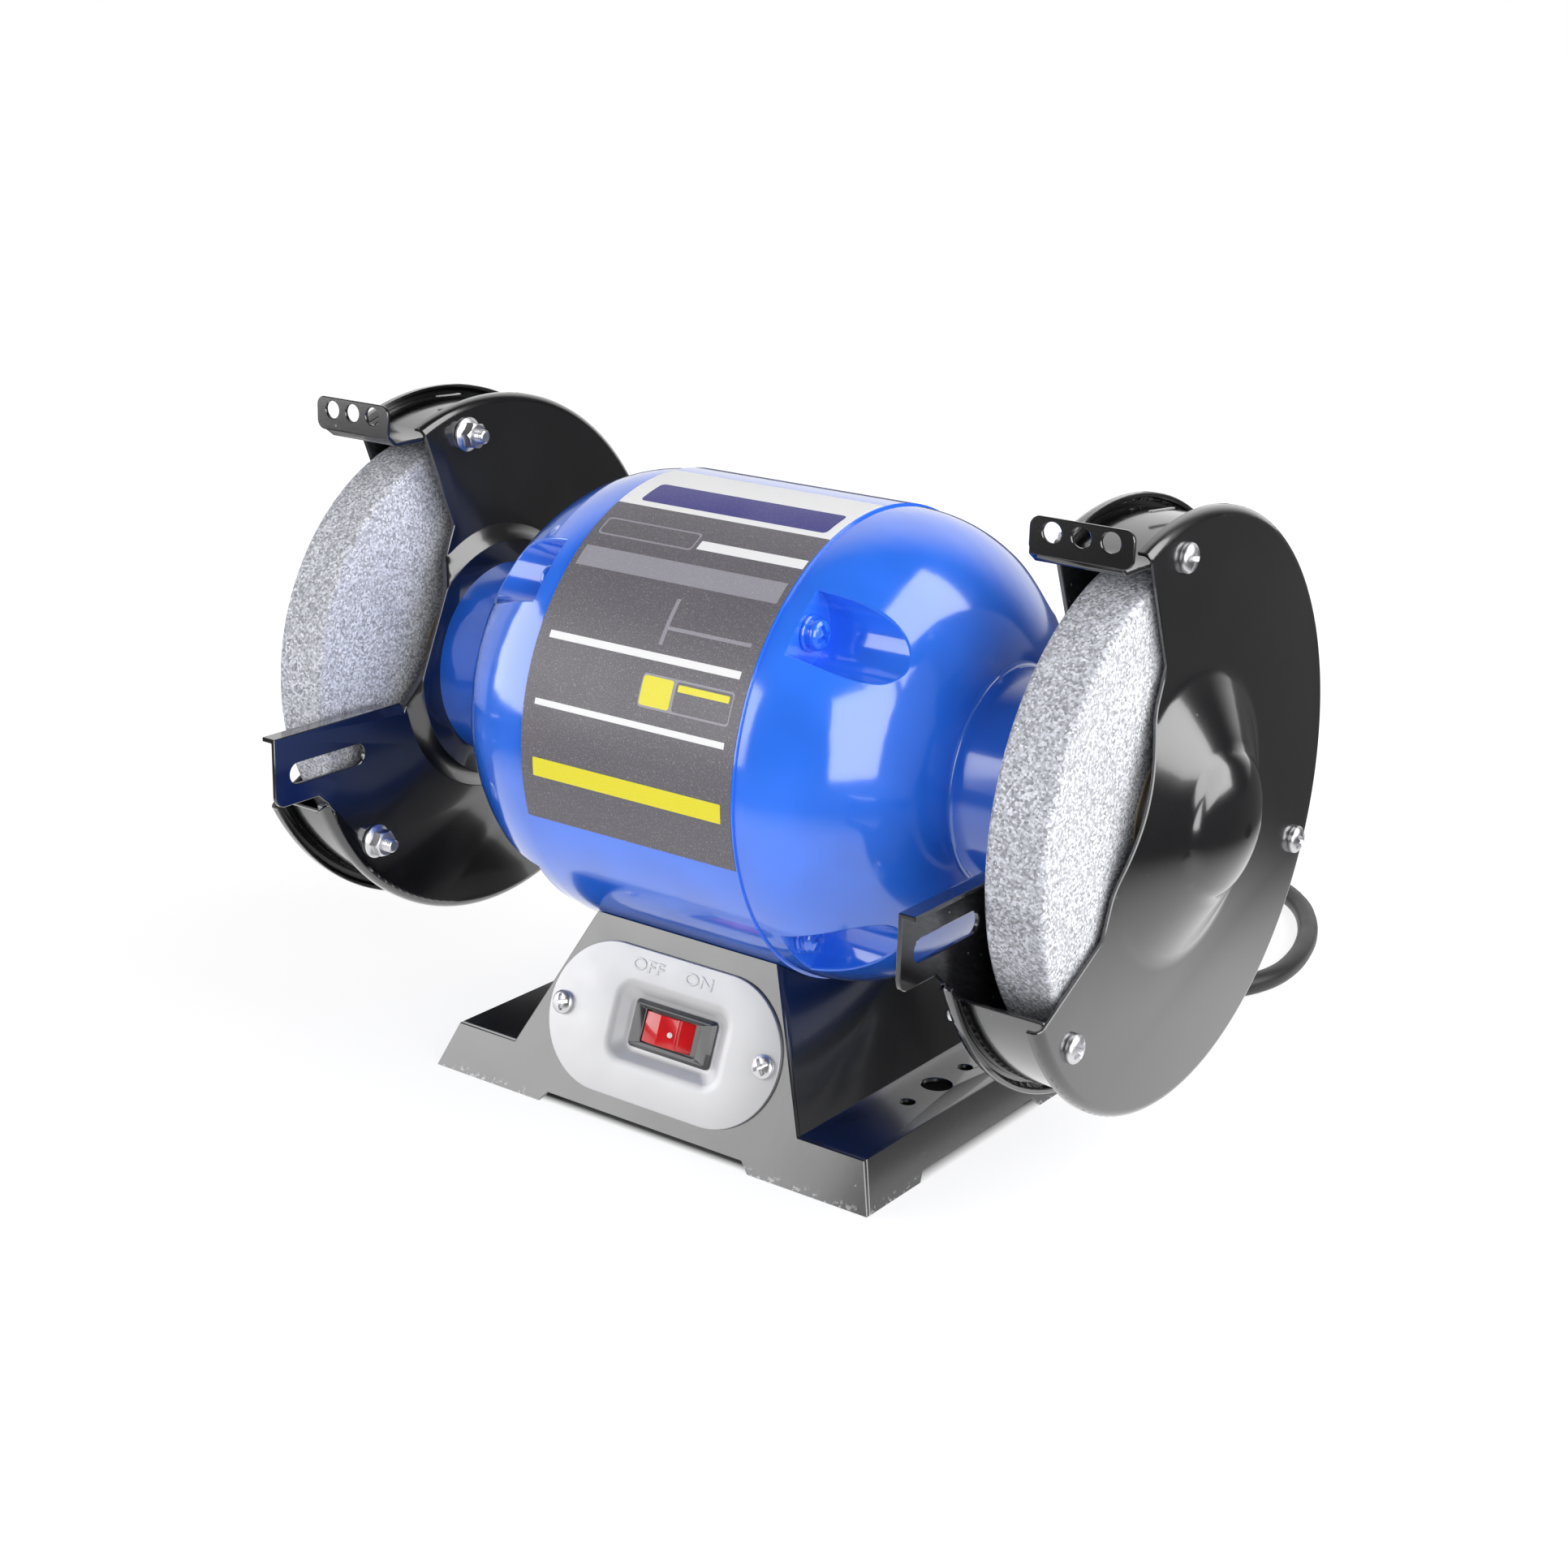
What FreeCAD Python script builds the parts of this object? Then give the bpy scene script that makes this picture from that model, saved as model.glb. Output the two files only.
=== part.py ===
import FreeCAD, Part
import Sketcher
import math
import os
import re

V = FreeCAD.Vector

# Sizes in millimetres and degrees.  Motor and guard sizes are measured from the middle of the shaft.
SIZES = {
    "shaft_height": 122.8,
    "band_radius": 75.3, "band_half": 40.6, "band_wall": 3.5,
    "bell_radius": 74.6, "bell_wall": 5.5, "bell_lip": 4.0, "neck_root": 88.0, "neck_radius": 33.4,
    "neck_wall": 4.5, "web_thickness": 6.0, "hub_radius": 22.5, "shaft_hole": 9.5,
    "pocket_circle": 69.0, "pocket_radius": 11.5, "pocket_floor": 47.5, "pocket_wall": 3.0,
    "pocket_round": 0.8,
    "screw_circle": 67.0, "screw_angle": 43.5, "screw_radius": 2.45, "lug_radius": 6.4,
    "bearing_bore": 7.5, "bearing_outer": 17.5, "bearing_width": 11.0, "ball_circle": 12.5,
    "ball_radius": 2.1,
    "stator_half": 27.0, "rotor_radius": 33.0, "air_gap": 0.4, "slot_depth": 48.0, "slot_width": 6.0,
    "arbor_radius": 6.35, "arbor_end": 162.0, "flange_seat": 119.6, "shaft_radius": 10.0,
    "wheel_room": 13.8, "wheel_inner": 126.2, "wheel_width": 19.0, "wheel_corner": 1.6,
    "blotter": 0.4, "flange_radius": 25.0, "flange_hub": 12.0, "flange_disc": 2.2, "nut_flats": 19.0,
    "nut_height": 8.5,
    "guard_radius": 90.0, "guard_face": 117.7, "guard_wall": 1.5, "guard_lip": 4.4, "guard_shoulder": 3.0,
    "guard_hole": 20.0, "boss_foot": 46.0, "boss_top": 41.0, "boss_rise": 4.4,
    "cover_face": 148.7, "cover_wall": 1.2, "cover_lip": 4.6, "cover_shoulder": 3.0,
    "rim_inset": 4.0, "rim_wall": 1.2, "rim_low": 28.0,
    "mouth_high": 67.0, "mouth_low": 28.0, "mouth_inset": 37.0, "mouth_foot_inset": 42.0,
    "mouth_foot_angle": 14.0,
    "bolt_inset": 10.0, "bolt_angle": 79.5, "bolt_radius": 2.4, "mount_circle": 29.0,
    "bulge_radius": 46.0, "bulge_fillet": 10.0, "bulge_angle": 28.0, "crease_radius": 24.5,
    "dome_edge": 14.0, "dome_edge_angle": 55.0, "dome_crown_angle": 25.0,
    "tab_width": 32.0, "tab_middle": 135.0, "tab_corner": 3.0, "tab_hole": 2.9, "tab_pitch": 9.0,
    "tab_run": 16.4, "tab_height": 13.2,
    "ear_reach": 104.5, "ear_top": 7.0, "ear_low": 30.2, "ear_lip": 5.5, "ear_corner": 4.0,
    "rest_slot_margin": 10.0, "rest_slot_length": 26.0, "rest_slot_drop": 20.2, "rest_slot_radius": 3.5,
    "base_width": 173.5, "base_depth": 130.6, "skirt_slope": 0.36, "foot_height": 15.0, "foot_top": 81.2,
    "pedestal_foot": 56.9, "pedestal_head": 35.0, "pedestal_height": 62.4, "sheet": 1.5,
    "pad_front": 42.0, "pad_side": 36.0, "pad_rise": 3.3,
    "bench_hole_spread": 68.6, "bench_bolt_hole": 5.0, "bench_screw_hole": 2.4, "bench_screw_spread": 17.0,
    "saddle_gap": 0.1, "motor_bolt_spread": 22.0, "motor_bolt": 3.0, "boss_radius": 7.0,
    "cover_plate": 1.0, "cover_plate_width": 122.0, "lip_level": 12.3, "lip_width": 9.0,
    "cover_screw_room": 6.4,
    "plate_length": 91.0, "plate_height": 48.4, "plate_level": 31.5, "plate_wall": 1.2,
    "plate_screw_spread": 40.0,
    "recess_length": 44.4, "recess_height": 25.6, "recess_depth": 3.0, "recess_corner": 5.6,
    "shelf_length": 34.4, "shelf_height": 17.2, "shelf_corner": 1.6,
    "switch_shift": 2.5, "switch_rise": 0.6, "bezel_length": 32.2, "bezel_height": 15.5, "bezel_rise": 1.75,
    "switch_length": 28.0, "switch_height": 12.6, "switch_depth": 21.0,
    "rocker_length": 20.5, "rocker_height": 9.8, "ridge_shift": 3.2, "rocker_ridge": 4.8, "rocker_high": 3.4,
    "rocker_low": 1.6, "rocker_depth": 2.2, "rocker_foot": 14.0, "rocker_sink": 3.6, "rocker_pin": 1.4,
    "pin_reach": 0.6,
    "opening_length": 21.6, "opening_height": 10.4, "opening_wall": 1.0, "chamber_length": 23.4,
    "chamber_depth": 8.6,
    "can_radius": 16.0, "can_length": 58.0, "can_back": 20.0, "can_level": 30.0, "clip_wall": 1.2,
    "clip_width": 14.0,
    "relief_across": 40.0, "relief_level": 22.0, "relief_hole": 6.6, "relief_length": 22.0,
    "cord_diameter": 7.8, "coil_radius": 54.0, "coil_pitch": 9.4, "layer_rise": 8.5, "cord_tail": 36.0,
    "plug_length": 32.0,
    "tie_wall": 0.9, "tie_width": 8.0, "tie_room": 0.4,
}

# Lengths that follow from the sizes
FORMULAS = {
    "row_shift": "(ear_reach - guard_radius) / 2",
    "base_half": "base_width / 2",
    "depth_half": "base_depth / 2",
    "sheet_run": "sheet * sqrt(1 + skirt_slope ^ 2)",
    "pedestal_lean": "(pedestal_foot - pedestal_head) / (pedestal_height - foot_height)",
    "pedestal_run": "sheet * sqrt(1 + pedestal_lean ^ 2)",
    "front_at_plate": "depth_half - skirt_slope * plate_level",
    "bell_run": "neck_root - band_half",
    "bell_drop": "bell_radius - neck_radius",
    "bell_arc": "(bell_run ^ 2 + bell_drop ^ 2) / (2 * bell_drop)",
    "bell_centre": "bell_radius - bell_arc",
    "neck_inside": "neck_radius - neck_wall",
    "inner_arc": "bell_arc - bell_wall",
    "inner_root": "band_half + sqrt(inner_arc ^ 2 - (neck_inside - bell_centre) ^ 2)",
    "bearing_out": "neck_end - web_thickness",
    "bearing_in": "bearing_out - bearing_width",
    "stator_radius": "screw_circle - lug_radius - 0.1",
    "stator_bore": "rotor_radius + air_gap",
    "bore": "arbor_radius + 0.03",
    "wheel_radius": "guard_radius - wheel_room",
    "wheel_outer": "wheel_inner + wheel_width",
    "nut_seat": "wheel_outer + blotter + flange_disc + 1.2",
    "guard_inside": "guard_face + guard_wall",
    "cover_inside": "cover_face - cover_wall",
    "fillet_end": "cover_face + bulge_fillet * (1 - cos(bulge_angle))",
    "fillet_radius": "bulge_radius - bulge_fillet * sin(bulge_angle)",
    "crease": "fillet_end + (fillet_radius - crease_radius) * tan(bulge_angle)",
    "crown": "crease + dome_edge * (cos(dome_crown_angle) - cos(dome_edge_angle))",
    "crown_radius": "crease_radius - dome_edge * (sin(dome_edge_angle) - sin(dome_crown_angle))",
    "crown_arc": "crown_radius / sin(dome_crown_angle)",
    "apex": "crown + crown_arc * (1 - cos(dome_crown_angle))",
    "seat_radius": "band_radius + saddle_gap",
    "neck_end": "guard_face - boss_rise",
    "rim_radius": "guard_radius - rim_inset",
    "bolt_circle": "guard_radius - bolt_inset",
    "mouth_depth": "guard_radius - mouth_inset",
    "mouth_foot": "guard_radius - mouth_foot_inset",
    "tab_reach": "rim_radius * cos(mouth_high) + tab_run",
    "tab_foot": "rim_radius * sin(mouth_high) - rim_wall / 2",
    "tab_top": "tab_foot + tab_height",
    "rest_slot_front": "ear_reach - rest_slot_margin",
    "rest_slot_back": "rest_slot_front - rest_slot_length",
    "lip_root": "depth_half - skirt_slope * (lip_level + 1.6) - sheet_run * 0.8",
    "cover_screw_depth": "lip_root - lip_width / 2",
    "cover_screw_spread": "relief_across - relief_hole - cover_screw_room",
    "shelf_level": "plate_wall + 0.02 - recess_depth",
    "pivot_level": "shelf_level + bezel_rise - rocker_sink",
    "slope_up": "1 / sqrt(1 + skirt_slope ^ 2)",
    "slope_back": "skirt_slope / sqrt(1 + skirt_slope ^ 2)",
}
WORD = re.compile(r"[a-z][a-z_]*")


def formula(text):
    """Spell a formula with the sheet's cells, so that it can be bound to a property."""
    def spell(match):
        word = match.group()
        if word in FORMULAS:
            return "(" + formula(FORMULAS[word]) + ")"
        return "Sizes." + word if word in SIZES else word
    return WORD.sub(spell, str(text))


doc = FreeCAD.newDocument("bench_grinder")
sheet = doc.addObject("Spreadsheet::Sheet", "Sizes")
for row, (alias, number) in enumerate(SIZES.items(), start=1):
    sheet.set("A%d" % row, alias)
    sheet.set("B%d" % row, str(number))
    sheet.setAlias("B%d" % row, alias)
doc.recompute()

NODES = {}


def size(text):
    return float(sheet.evalExpression(formula(text)))


def node(name, item):
    """Keep an object as a finished piece of the part."""
    item.Label = name
    NODES[name] = item
    return item


def place(item, across="0", back="row_shift", up="shaft_height", tilt=None):
    """Put a piece in the shared frame; tilt turns it about the X axis."""
    if tilt:
        item.Placement = FreeCAD.Placement(V(), FreeCAD.Rotation(V(1, 0, 0), size(tilt)))
        item.setExpression("Placement.Rotation.Angle", formula(tilt))
    for axis, text in zip("xyz", (across, back, up)):
        if str(text) != "0":
            item.setExpression("Placement.Base." + axis, formula(text))


def body(name, loose=False, **where):
    """New body in the motor's frame, or where told; loose bodies may hold several solids."""
    item = doc.addObject("PartDesign::Body", name)
    if loose:
        item.AllowCompound = True
    place(item, **where)
    return item


def drawing(item, role, depth, turn=None):
    """Empty sketch on an origin plane of the body, lifted off it by depth."""
    plane = next(f for f in item.Origin.OriginFeatures if f.Role == role)
    sketch = item.newObject("Sketcher::SketchObject", item.Name + "_sketch")
    sketch.AttachmentSupport = [(plane, "")]
    sketch.MapMode = "FlatFace"
    if str(depth) != "0":
        sketch.setExpression("AttachmentOffset.Base.z", formula(depth))
    if turn:
        sketch.setExpression("AttachmentOffset.Rotation.Angle", formula(turn))
    return sketch


def bind(sketch, kind, place_on, text, name):
    index = sketch.addConstraint(Sketcher.Constraint(kind, *place_on, size(text)))
    sketch.renameConstraint(index, name)
    sketch.setExpression("Constraints." + name, formula(text))


def pin(sketch, element, point, across, up, tag):
    """Hold a point of the sketch at two formulas."""
    bind(sketch, "DistanceX", (-1, 1, element, point), across, "across_" + tag)
    bind(sketch, "DistanceY", (-1, 1, element, point), up, "up_" + tag)


def outline(item, role, path, depth="0", turn=None):
    """Closed outline.  A corner is (across, up); a third value is the radius of the arc that reaches it,
    positive for a left turn and negative for a right turn."""
    sketch = drawing(item, role, depth, turn)
    corners = [V(size(c[0]), size(c[1]), 0) for c in path]
    ends = []
    for number, corner in enumerate(path):
        start, end = corners[number - 1], corners[number]
        if len(corner) == 2:
            sketch.addGeometry(Part.LineSegment(start, end))
            ends.append((1, 2))
            continue
        radius = size(corner[2])
        chord = end - start
        side = V(-chord.y, chord.x, 0).normalize() * math.copysign(1, radius)
        centre = (start + end) / 2 + side * math.sqrt(max(radius ** 2 - (chord.Length / 2) ** 2, 0))
        first, last = (start, end) if radius > 0 else (end, start)
        angles = [math.atan2(p.y - centre.y, p.x - centre.x) for p in (first, last)]
        sketch.addGeometry(Part.ArcOfCircle(Part.Circle(centre, V(0, 0, 1), abs(radius)), *angles))
        ends.append((1, 2) if radius > 0 else (2, 1))
    for number, corner in enumerate(path):
        after = (number + 1) % len(path)
        sketch.addConstraint(Sketcher.Constraint("Coincident", number, ends[number][1], after,
                                                 ends[after][0]))
        pin(sketch, number, ends[number][1], corner[0], corner[1], str(number))
        if len(corner) == 3:
            bind(sketch, "Radius", (number,), "abs(%s)" % corner[2], "arc_%d" % number)
    return sketch


def discs(item, role, centres, radius, depth="0"):
    """Sketch of equal circles."""
    sketch = drawing(item, role, depth)
    for number, (across, up) in enumerate(centres):
        sketch.addGeometry(Part.Circle(V(size(across), size(up), 0), V(0, 0, 1), size(radius)))
        pin(sketch, number, 3, across, up, str(number))
        bind(sketch, "Radius", (number,), radius, "arc_%d" % number)
    return sketch


def grow(item, kind, sketch, length=None, both=False, back=False):
    """Pad or pocket of a sketch; without a length a pocket goes through everything."""
    feature = item.newObject("PartDesign::" + kind, item.Name + "_" + kind.lower())
    feature.Profile = sketch
    if length is None:
        feature.Type = "ThroughAll"
    else:
        feature.setExpression("Length", formula(length))
    if both:
        feature.SideType = "Symmetric"
    feature.Reversed = back
    sketch.Visibility = False
    item.Tip = feature
    return feature


def pad(item, sketch, length, both=False, back=False):
    return grow(item, "Pad", sketch, length, both, back)


def pocket(item, sketch, length=None, both=False, back=False):
    return grow(item, "Pocket", sketch, length, both, back)


def turned(item, path):
    """Solid of revolution about the body's X axis from a profile in x and radius."""
    sketch = outline(item, "XZ_Plane", path)
    feature = item.newObject("PartDesign::Revolution", item.Name + "_turned")
    feature.Profile = sketch
    feature.ReferenceAxis = (sketch, ["H_Axis"])
    feature.Angle = 360.0
    sketch.Visibility = False
    item.Tip = feature
    return feature


def around(item, feature, count):
    """Repeat a feature evenly about the body's X axis."""
    doc.recompute()
    pattern = item.newObject("PartDesign::PolarPattern", item.Name + "_pattern")
    pattern.Originals = [feature]
    pattern.Axis = (next(f for f in item.Origin.OriginFeatures if f.Role == "X_Axis"), [""])
    pattern.Angle = 360.0
    pattern.Occurrences = count
    item.Tip = pattern
    return pattern


def rounded(item, radius, chosen):
    """Round those edges of the body that pass the test."""
    doc.recompute()
    base = item.Tip
    feature = item.newObject("PartDesign::Fillet", item.Name + "_round")
    feature.Base = (base, ["Edge%d" % n for n, edge in enumerate(base.Shape.Edges, start=1) if chosen(edge)])
    feature.setExpression("Radius", formula(radius))
    item.Tip = feature
    return feature


def join(kind, name, first, second):
    """Part boolean of two objects: Cut, Fuse or Common."""
    result = doc.addObject("Part::" + kind, name)
    result.Base, result.Tool = first, second
    return result


def mirrored(name, source):
    """The left-hand twin of a right-hand piece."""
    twin = doc.addObject("Part::Mirroring", name)
    twin.Source = source
    twin.Normal = V(1, 0, 0)
    return node(name, twin)


def pair(name, item):
    node(name + "_right", item)
    mirrored(name + "_left", item)


def polar(radius, angle):
    """Point on a circle about the shaft, seen along X: angle 0 is to the front, 90 is up."""
    return "-(%s) * cos(%s)" % (radius, angle), "(%s) * sin(%s)" % (radius, angle)


def rectangle(across, up, length, height, corner=None):
    """Corners of an upright rectangle about a middle point, rounded when a corner radius is given."""
    path = []
    for sx, sy in ((1, -1), (1, 1), (-1, 1), (-1, -1)):
        x = "%s + (%d) * (%s) / 2" % (across, sx, length)
        y = "%s + (%d) * (%s) / 2" % (up, sy, height)
        if corner is None:
            path.append((x, y))
            continue
        xc, yc = "%s - (%d) * (%s)" % (x, sx, corner), "%s - (%d) * (%s)" % (y, sy, corner)
        first, last = ((xc, y), (x, yc)) if sx * sy < 0 else ((x, yc), (xc, y))
        path += [first, last + (corner,)]
    return path


def hexagon(across, up, flats):
    return [("%s + %s / sqrt(3) * cos(%d)" % (across, flats, turn),
             "%s + %s / sqrt(3) * sin(%d)" % (up, flats, turn))
            for turn in range(0, 360, 60)]


# Motor band: rolled tube with lugs for the bell screws and two bosses over the saddle
band = body("motor_band")
turned(band, [("-band_half", "band_radius"), ("-band_half", "band_radius - band_wall"),
              ("band_half", "band_radius - band_wall"), ("band_half", "band_radius")])
lug_spots = [polar("screw_circle", "screw_angle + %d" % turn) for turn in (0, 90, 180, 270)]
pad(band, discs(band, "YZ_Plane", lug_spots, "lug_radius"), "2 * (band_half - bell_lip - 0.6)", both=True)
bolt_spots = [("motor_bolt_spread", "0"), ("-motor_bolt_spread", "0")]
pad(band, discs(band, "XY_Plane", bolt_spots, "boss_radius", "-(band_radius - 1.5)"),
    "band_radius - 1.5 - stator_radius - 0.4")
pocket(band, discs(band, "YZ_Plane", lug_spots, "screw_radius + 0.05"), both=True)
pocket(band, discs(band, "XY_Plane", bolt_spots, "motor_bolt + 0.05", "-(band_radius + 1)"),
       "band_radius + 1 - stator_radius - 2", back=True)
node("motor_band", band)

# End bell: domed casting, hollow, with four screw pockets, a bearing hub and a neck for the guard
shell = body("bell_shell")
turned(shell, [("band_half - bell_lip", "0"), ("neck_end", "0"), ("neck_end", "neck_radius"),
               ("neck_root + 1.4", "neck_radius"), ("neck_root - 0.2", "neck_radius + 1.4", "-1.6"),
               ("band_half", "bell_radius", "bell_arc"),
               ("band_half", "band_radius - band_wall - 0.05"),
               ("band_half - bell_lip", "band_radius - band_wall - 0.05")])
first_pocket = pocket(shell, discs(shell, "YZ_Plane", [polar("pocket_circle", "screw_angle")],
                                   "pocket_radius",
                                   "pocket_floor"), back=True)
around(shell, first_pocket, 4)


def pocket_rim(edge):
    """True for a curved edge where a screw pocket breaks through the dome."""
    points = edge.discretize(9)
    if isinstance(edge.Curve, Part.Line) or max(p.x for p in points) < size("pocket_floor") + 0.5:
        return False
    for turn in (0, 90, 180, 270):
        across, up = (size(text) for text in polar("pocket_circle", "screw_angle + %d" % turn))
        if all(abs(math.hypot(p.y - across, p.z - up) - size("pocket_radius")) < 0.02 for p in points):
            return True
    return False


rounded(shell, "pocket_round", pocket_rim)
pocket(shell, discs(shell, "YZ_Plane", lug_spots, "screw_radius + 0.3"), back=True)
mount_spots = [polar("mount_circle", "screw_angle + %d" % turn) for turn in (0, 90, 180, 270)]
pocket(shell, discs(shell, "YZ_Plane", mount_spots, "screw_radius", "neck_end"), "9")
hollow = body("bell_hollow")
turned(hollow, [("band_half - bell_lip - 1", "0"), ("neck_end + 1", "0"), ("neck_end + 1", "shaft_hole"),
                ("bearing_out", "shaft_hole"), ("bearing_out", "bearing_outer + 0.01"),
                ("bearing_in - 1", "bearing_outer + 0.01"), ("bearing_in - 1", "hub_radius"),
                ("bearing_out - 5", "hub_radius"), ("bearing_out - 5", "neck_inside"),
                ("inner_root", "neck_inside"), ("band_half", "bell_radius - bell_wall", "inner_arc"),
                ("band_half - bell_lip - 1", "bell_radius - bell_wall")])
boss_cut = pocket(hollow, discs(hollow, "YZ_Plane", [polar("pocket_circle", "screw_angle")],
                                "pocket_radius + pocket_wall", "band_half"), back=True)
around(hollow, boss_cut, 4)
pair("end_bell", join("Cut", "end_bell_right", shell, hollow))

# Bell screws with spring washer and washer
screws = body("bell_screws_right", loose=True)
for start, length, radius in (("pocket_floor - 21", "21.5", "screw_radius"),
                              ("pocket_floor + 0.05", "1.2", "5.5"),
                              ("pocket_floor + 1.25", "1.3", "4.3"), ("pocket_floor + 2.55", "2.2", "4.7"),
                              ("pocket_floor + 4.75", "0.8", "3.6")):
    pad(screws, discs(screws, "YZ_Plane", lug_spots, radius, start), length)
pair("bell_screws", screws)

# Stator, windings and rotor
stator = body("stator_core")
pad(stator, discs(stator, "YZ_Plane", [("0", "0")], "stator_radius"), "2 * stator_half", both=True)
pocket(stator, discs(stator, "YZ_Plane", [("0", "0")], "stator_bore"), both=True)
slot = pocket(stator, outline(stator, "YZ_Plane", [
    ("-1.2", "stator_bore - 1"), ("1.2", "stator_bore - 1"), ("1.2", "stator_bore + 2"),
    ("slot_width / 2", "stator_bore + 4"), ("slot_width / 2", "slot_depth"),
    ("-slot_width / 2", "slot_depth"),
    ("-slot_width / 2", "stator_bore + 4"), ("-1.2", "stator_bore + 2")]), both=True)
around(stator, slot, 12)
node("stator_core", stator)
windings = body("stator_windings", loose=True)
for sign in ("", "-"):
    turned(windings, [(sign + "stator_half", "stator_bore + 2.5"),
                      (sign + "(stator_half + 9)", "stator_bore + 2.5"),
                      (sign + "(stator_half + 11.5)", "stator_bore + 6"),
                      (sign + "(stator_half + 11.5)", "slot_depth + 1"),
                      (sign + "(stator_half + 8)", "slot_depth + 4.5"),
                      (sign + "stator_half", "slot_depth + 4.5")])
node("stator_windings", windings)
rotor = body("rotor_core")
turned(rotor, [("-(stator_half + 5)", "shaft_radius + 0.02"), ("stator_half + 5", "shaft_radius + 0.02"),
               ("stator_half + 5", "rotor_radius - 4"), ("stator_half", "rotor_radius - 4"),
               ("stator_half", "rotor_radius"), ("-stator_half", "rotor_radius"),
               ("-stator_half", "rotor_radius - 4"), ("-(stator_half + 5)", "rotor_radius - 4")])
node("rotor_core", rotor)

# Shaft with shoulders for the bearings and the wheel flanges
shaft = body("spindle_shaft")
steps = [("bearing_in", "shaft_radius"), ("bearing_in", "bearing_bore"), ("flange_seat", "bearing_bore"),
         ("flange_seat", "arbor_radius"), ("arbor_end - 1", "arbor_radius"),
         ("arbor_end", "arbor_radius - 1")]
turned(shaft, [("-arbor_end", "0"), ("arbor_end", "0")] + steps[::-1]
       + [("-(%s)" % x, r) for x, r in steps])
node("spindle_shaft", shaft)

# Ball bearings
middle = "(bearing_in + bearing_out) / 2"
race = body("bearing_outer_right")
turned(race, [("bearing_in", "bearing_outer"), ("bearing_in", "ball_circle + 1.5"),
              (middle + " - 1.6", "ball_circle + 1.5"),
              (middle + " - 1", "ball_circle + ball_radius + 0.04"),
              (middle + " + 1", "ball_circle + ball_radius + 0.04"),
              (middle + " + 1.6", "ball_circle + 1.5"), ("bearing_out", "ball_circle + 1.5"),
              ("bearing_out", "bearing_outer")])
pair("bearing_outer", race)
cone = body("bearing_inner_right")
turned(cone, [("bearing_in", "bearing_bore + 0.01"), ("bearing_out", "bearing_bore + 0.01"),
              ("bearing_out", "ball_circle - 1.5"),
              (middle + " + 1.6", "ball_circle - 1.5"), (middle + " + 1", "ball_circle - ball_radius - 0.04"),
              (middle + " - 1", "ball_circle - ball_radius - 0.04"), (middle + " - 1.6", "ball_circle - 1.5"),
              ("bearing_in", "ball_circle - 1.5")])
pair("bearing_inner", cone)
balls = doc.addObject("Part::Feature", "bearing_balls_right")
ball_turns = [turn * math.tau / 7 for turn in range(7)]
balls.Shape = Part.makeCompound([
    Part.makeSphere(size("ball_radius"), V(size(middle), size("ball_circle") * math.cos(turn),
                                           size("ball_circle") * math.sin(turn))) for turn in ball_turns])
place(balls)
pair("bearing_balls", balls)

# Wheel stack: flanges, paper blotters, wheel and nut
wheel = body("wheel_right")
turned(wheel, [("wheel_inner", "bore"), ("wheel_outer", "bore"),
               ("wheel_outer", "wheel_radius - wheel_corner"),
               ("wheel_outer - wheel_corner", "wheel_radius", "wheel_corner"),
               ("wheel_inner + wheel_corner", "wheel_radius"),
               ("wheel_inner", "wheel_radius - wheel_corner", "wheel_corner")])
pair("wheel", wheel)
blotters = body("wheel_blotters_right", loose=True)
for start in ("wheel_inner - blotter", "wheel_outer"):
    turned(blotters, [(start, "bore"), (start + " + blotter", "bore"),
                      (start + " + blotter", "flange_radius + 2"),
                      (start, "flange_radius + 2")])
pair("wheel_blotters", blotters)
inner = body("inner_flange_right")
turned(inner, [("flange_seat", "bore"), ("wheel_inner - blotter - 0.7", "bore"),
               ("wheel_inner - blotter - 0.7", "flange_radius - 7"),
               ("wheel_inner - blotter", "flange_radius - 6"),
               ("wheel_inner - blotter", "flange_radius"), ("wheel_inner - blotter - flange_disc + 0.6",
                                                            "flange_radius"),
               ("wheel_inner - blotter - flange_disc - 1.2", "flange_hub + 2"),
               ("wheel_inner - blotter - flange_disc - 1.2", "flange_hub"), ("flange_seat", "flange_hub")])
pair("inner_flange", inner)
outer = body("outer_flange_right")
turned(outer, [("nut_seat", "bore"), ("nut_seat", "flange_hub + 2"),
               ("wheel_outer + blotter + flange_disc - 0.6", "flange_radius"),
               ("wheel_outer + blotter", "flange_radius"),
               ("wheel_outer + blotter", "flange_radius - 6"),
               ("wheel_outer + blotter + 0.7", "flange_radius - 7"),
               ("wheel_outer + blotter + 0.7", "bore")])
pair("outer_flange", outer)
nut = body("spindle_nut_right")
pad(nut, outline(nut, "YZ_Plane", hexagon("0", "0", "nut_flats"), "nut_seat"), "nut_height")
pocket(nut, discs(nut, "YZ_Plane", [("0", "0")], "bore"), back=True)
pair("spindle_nut", nut)

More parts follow.
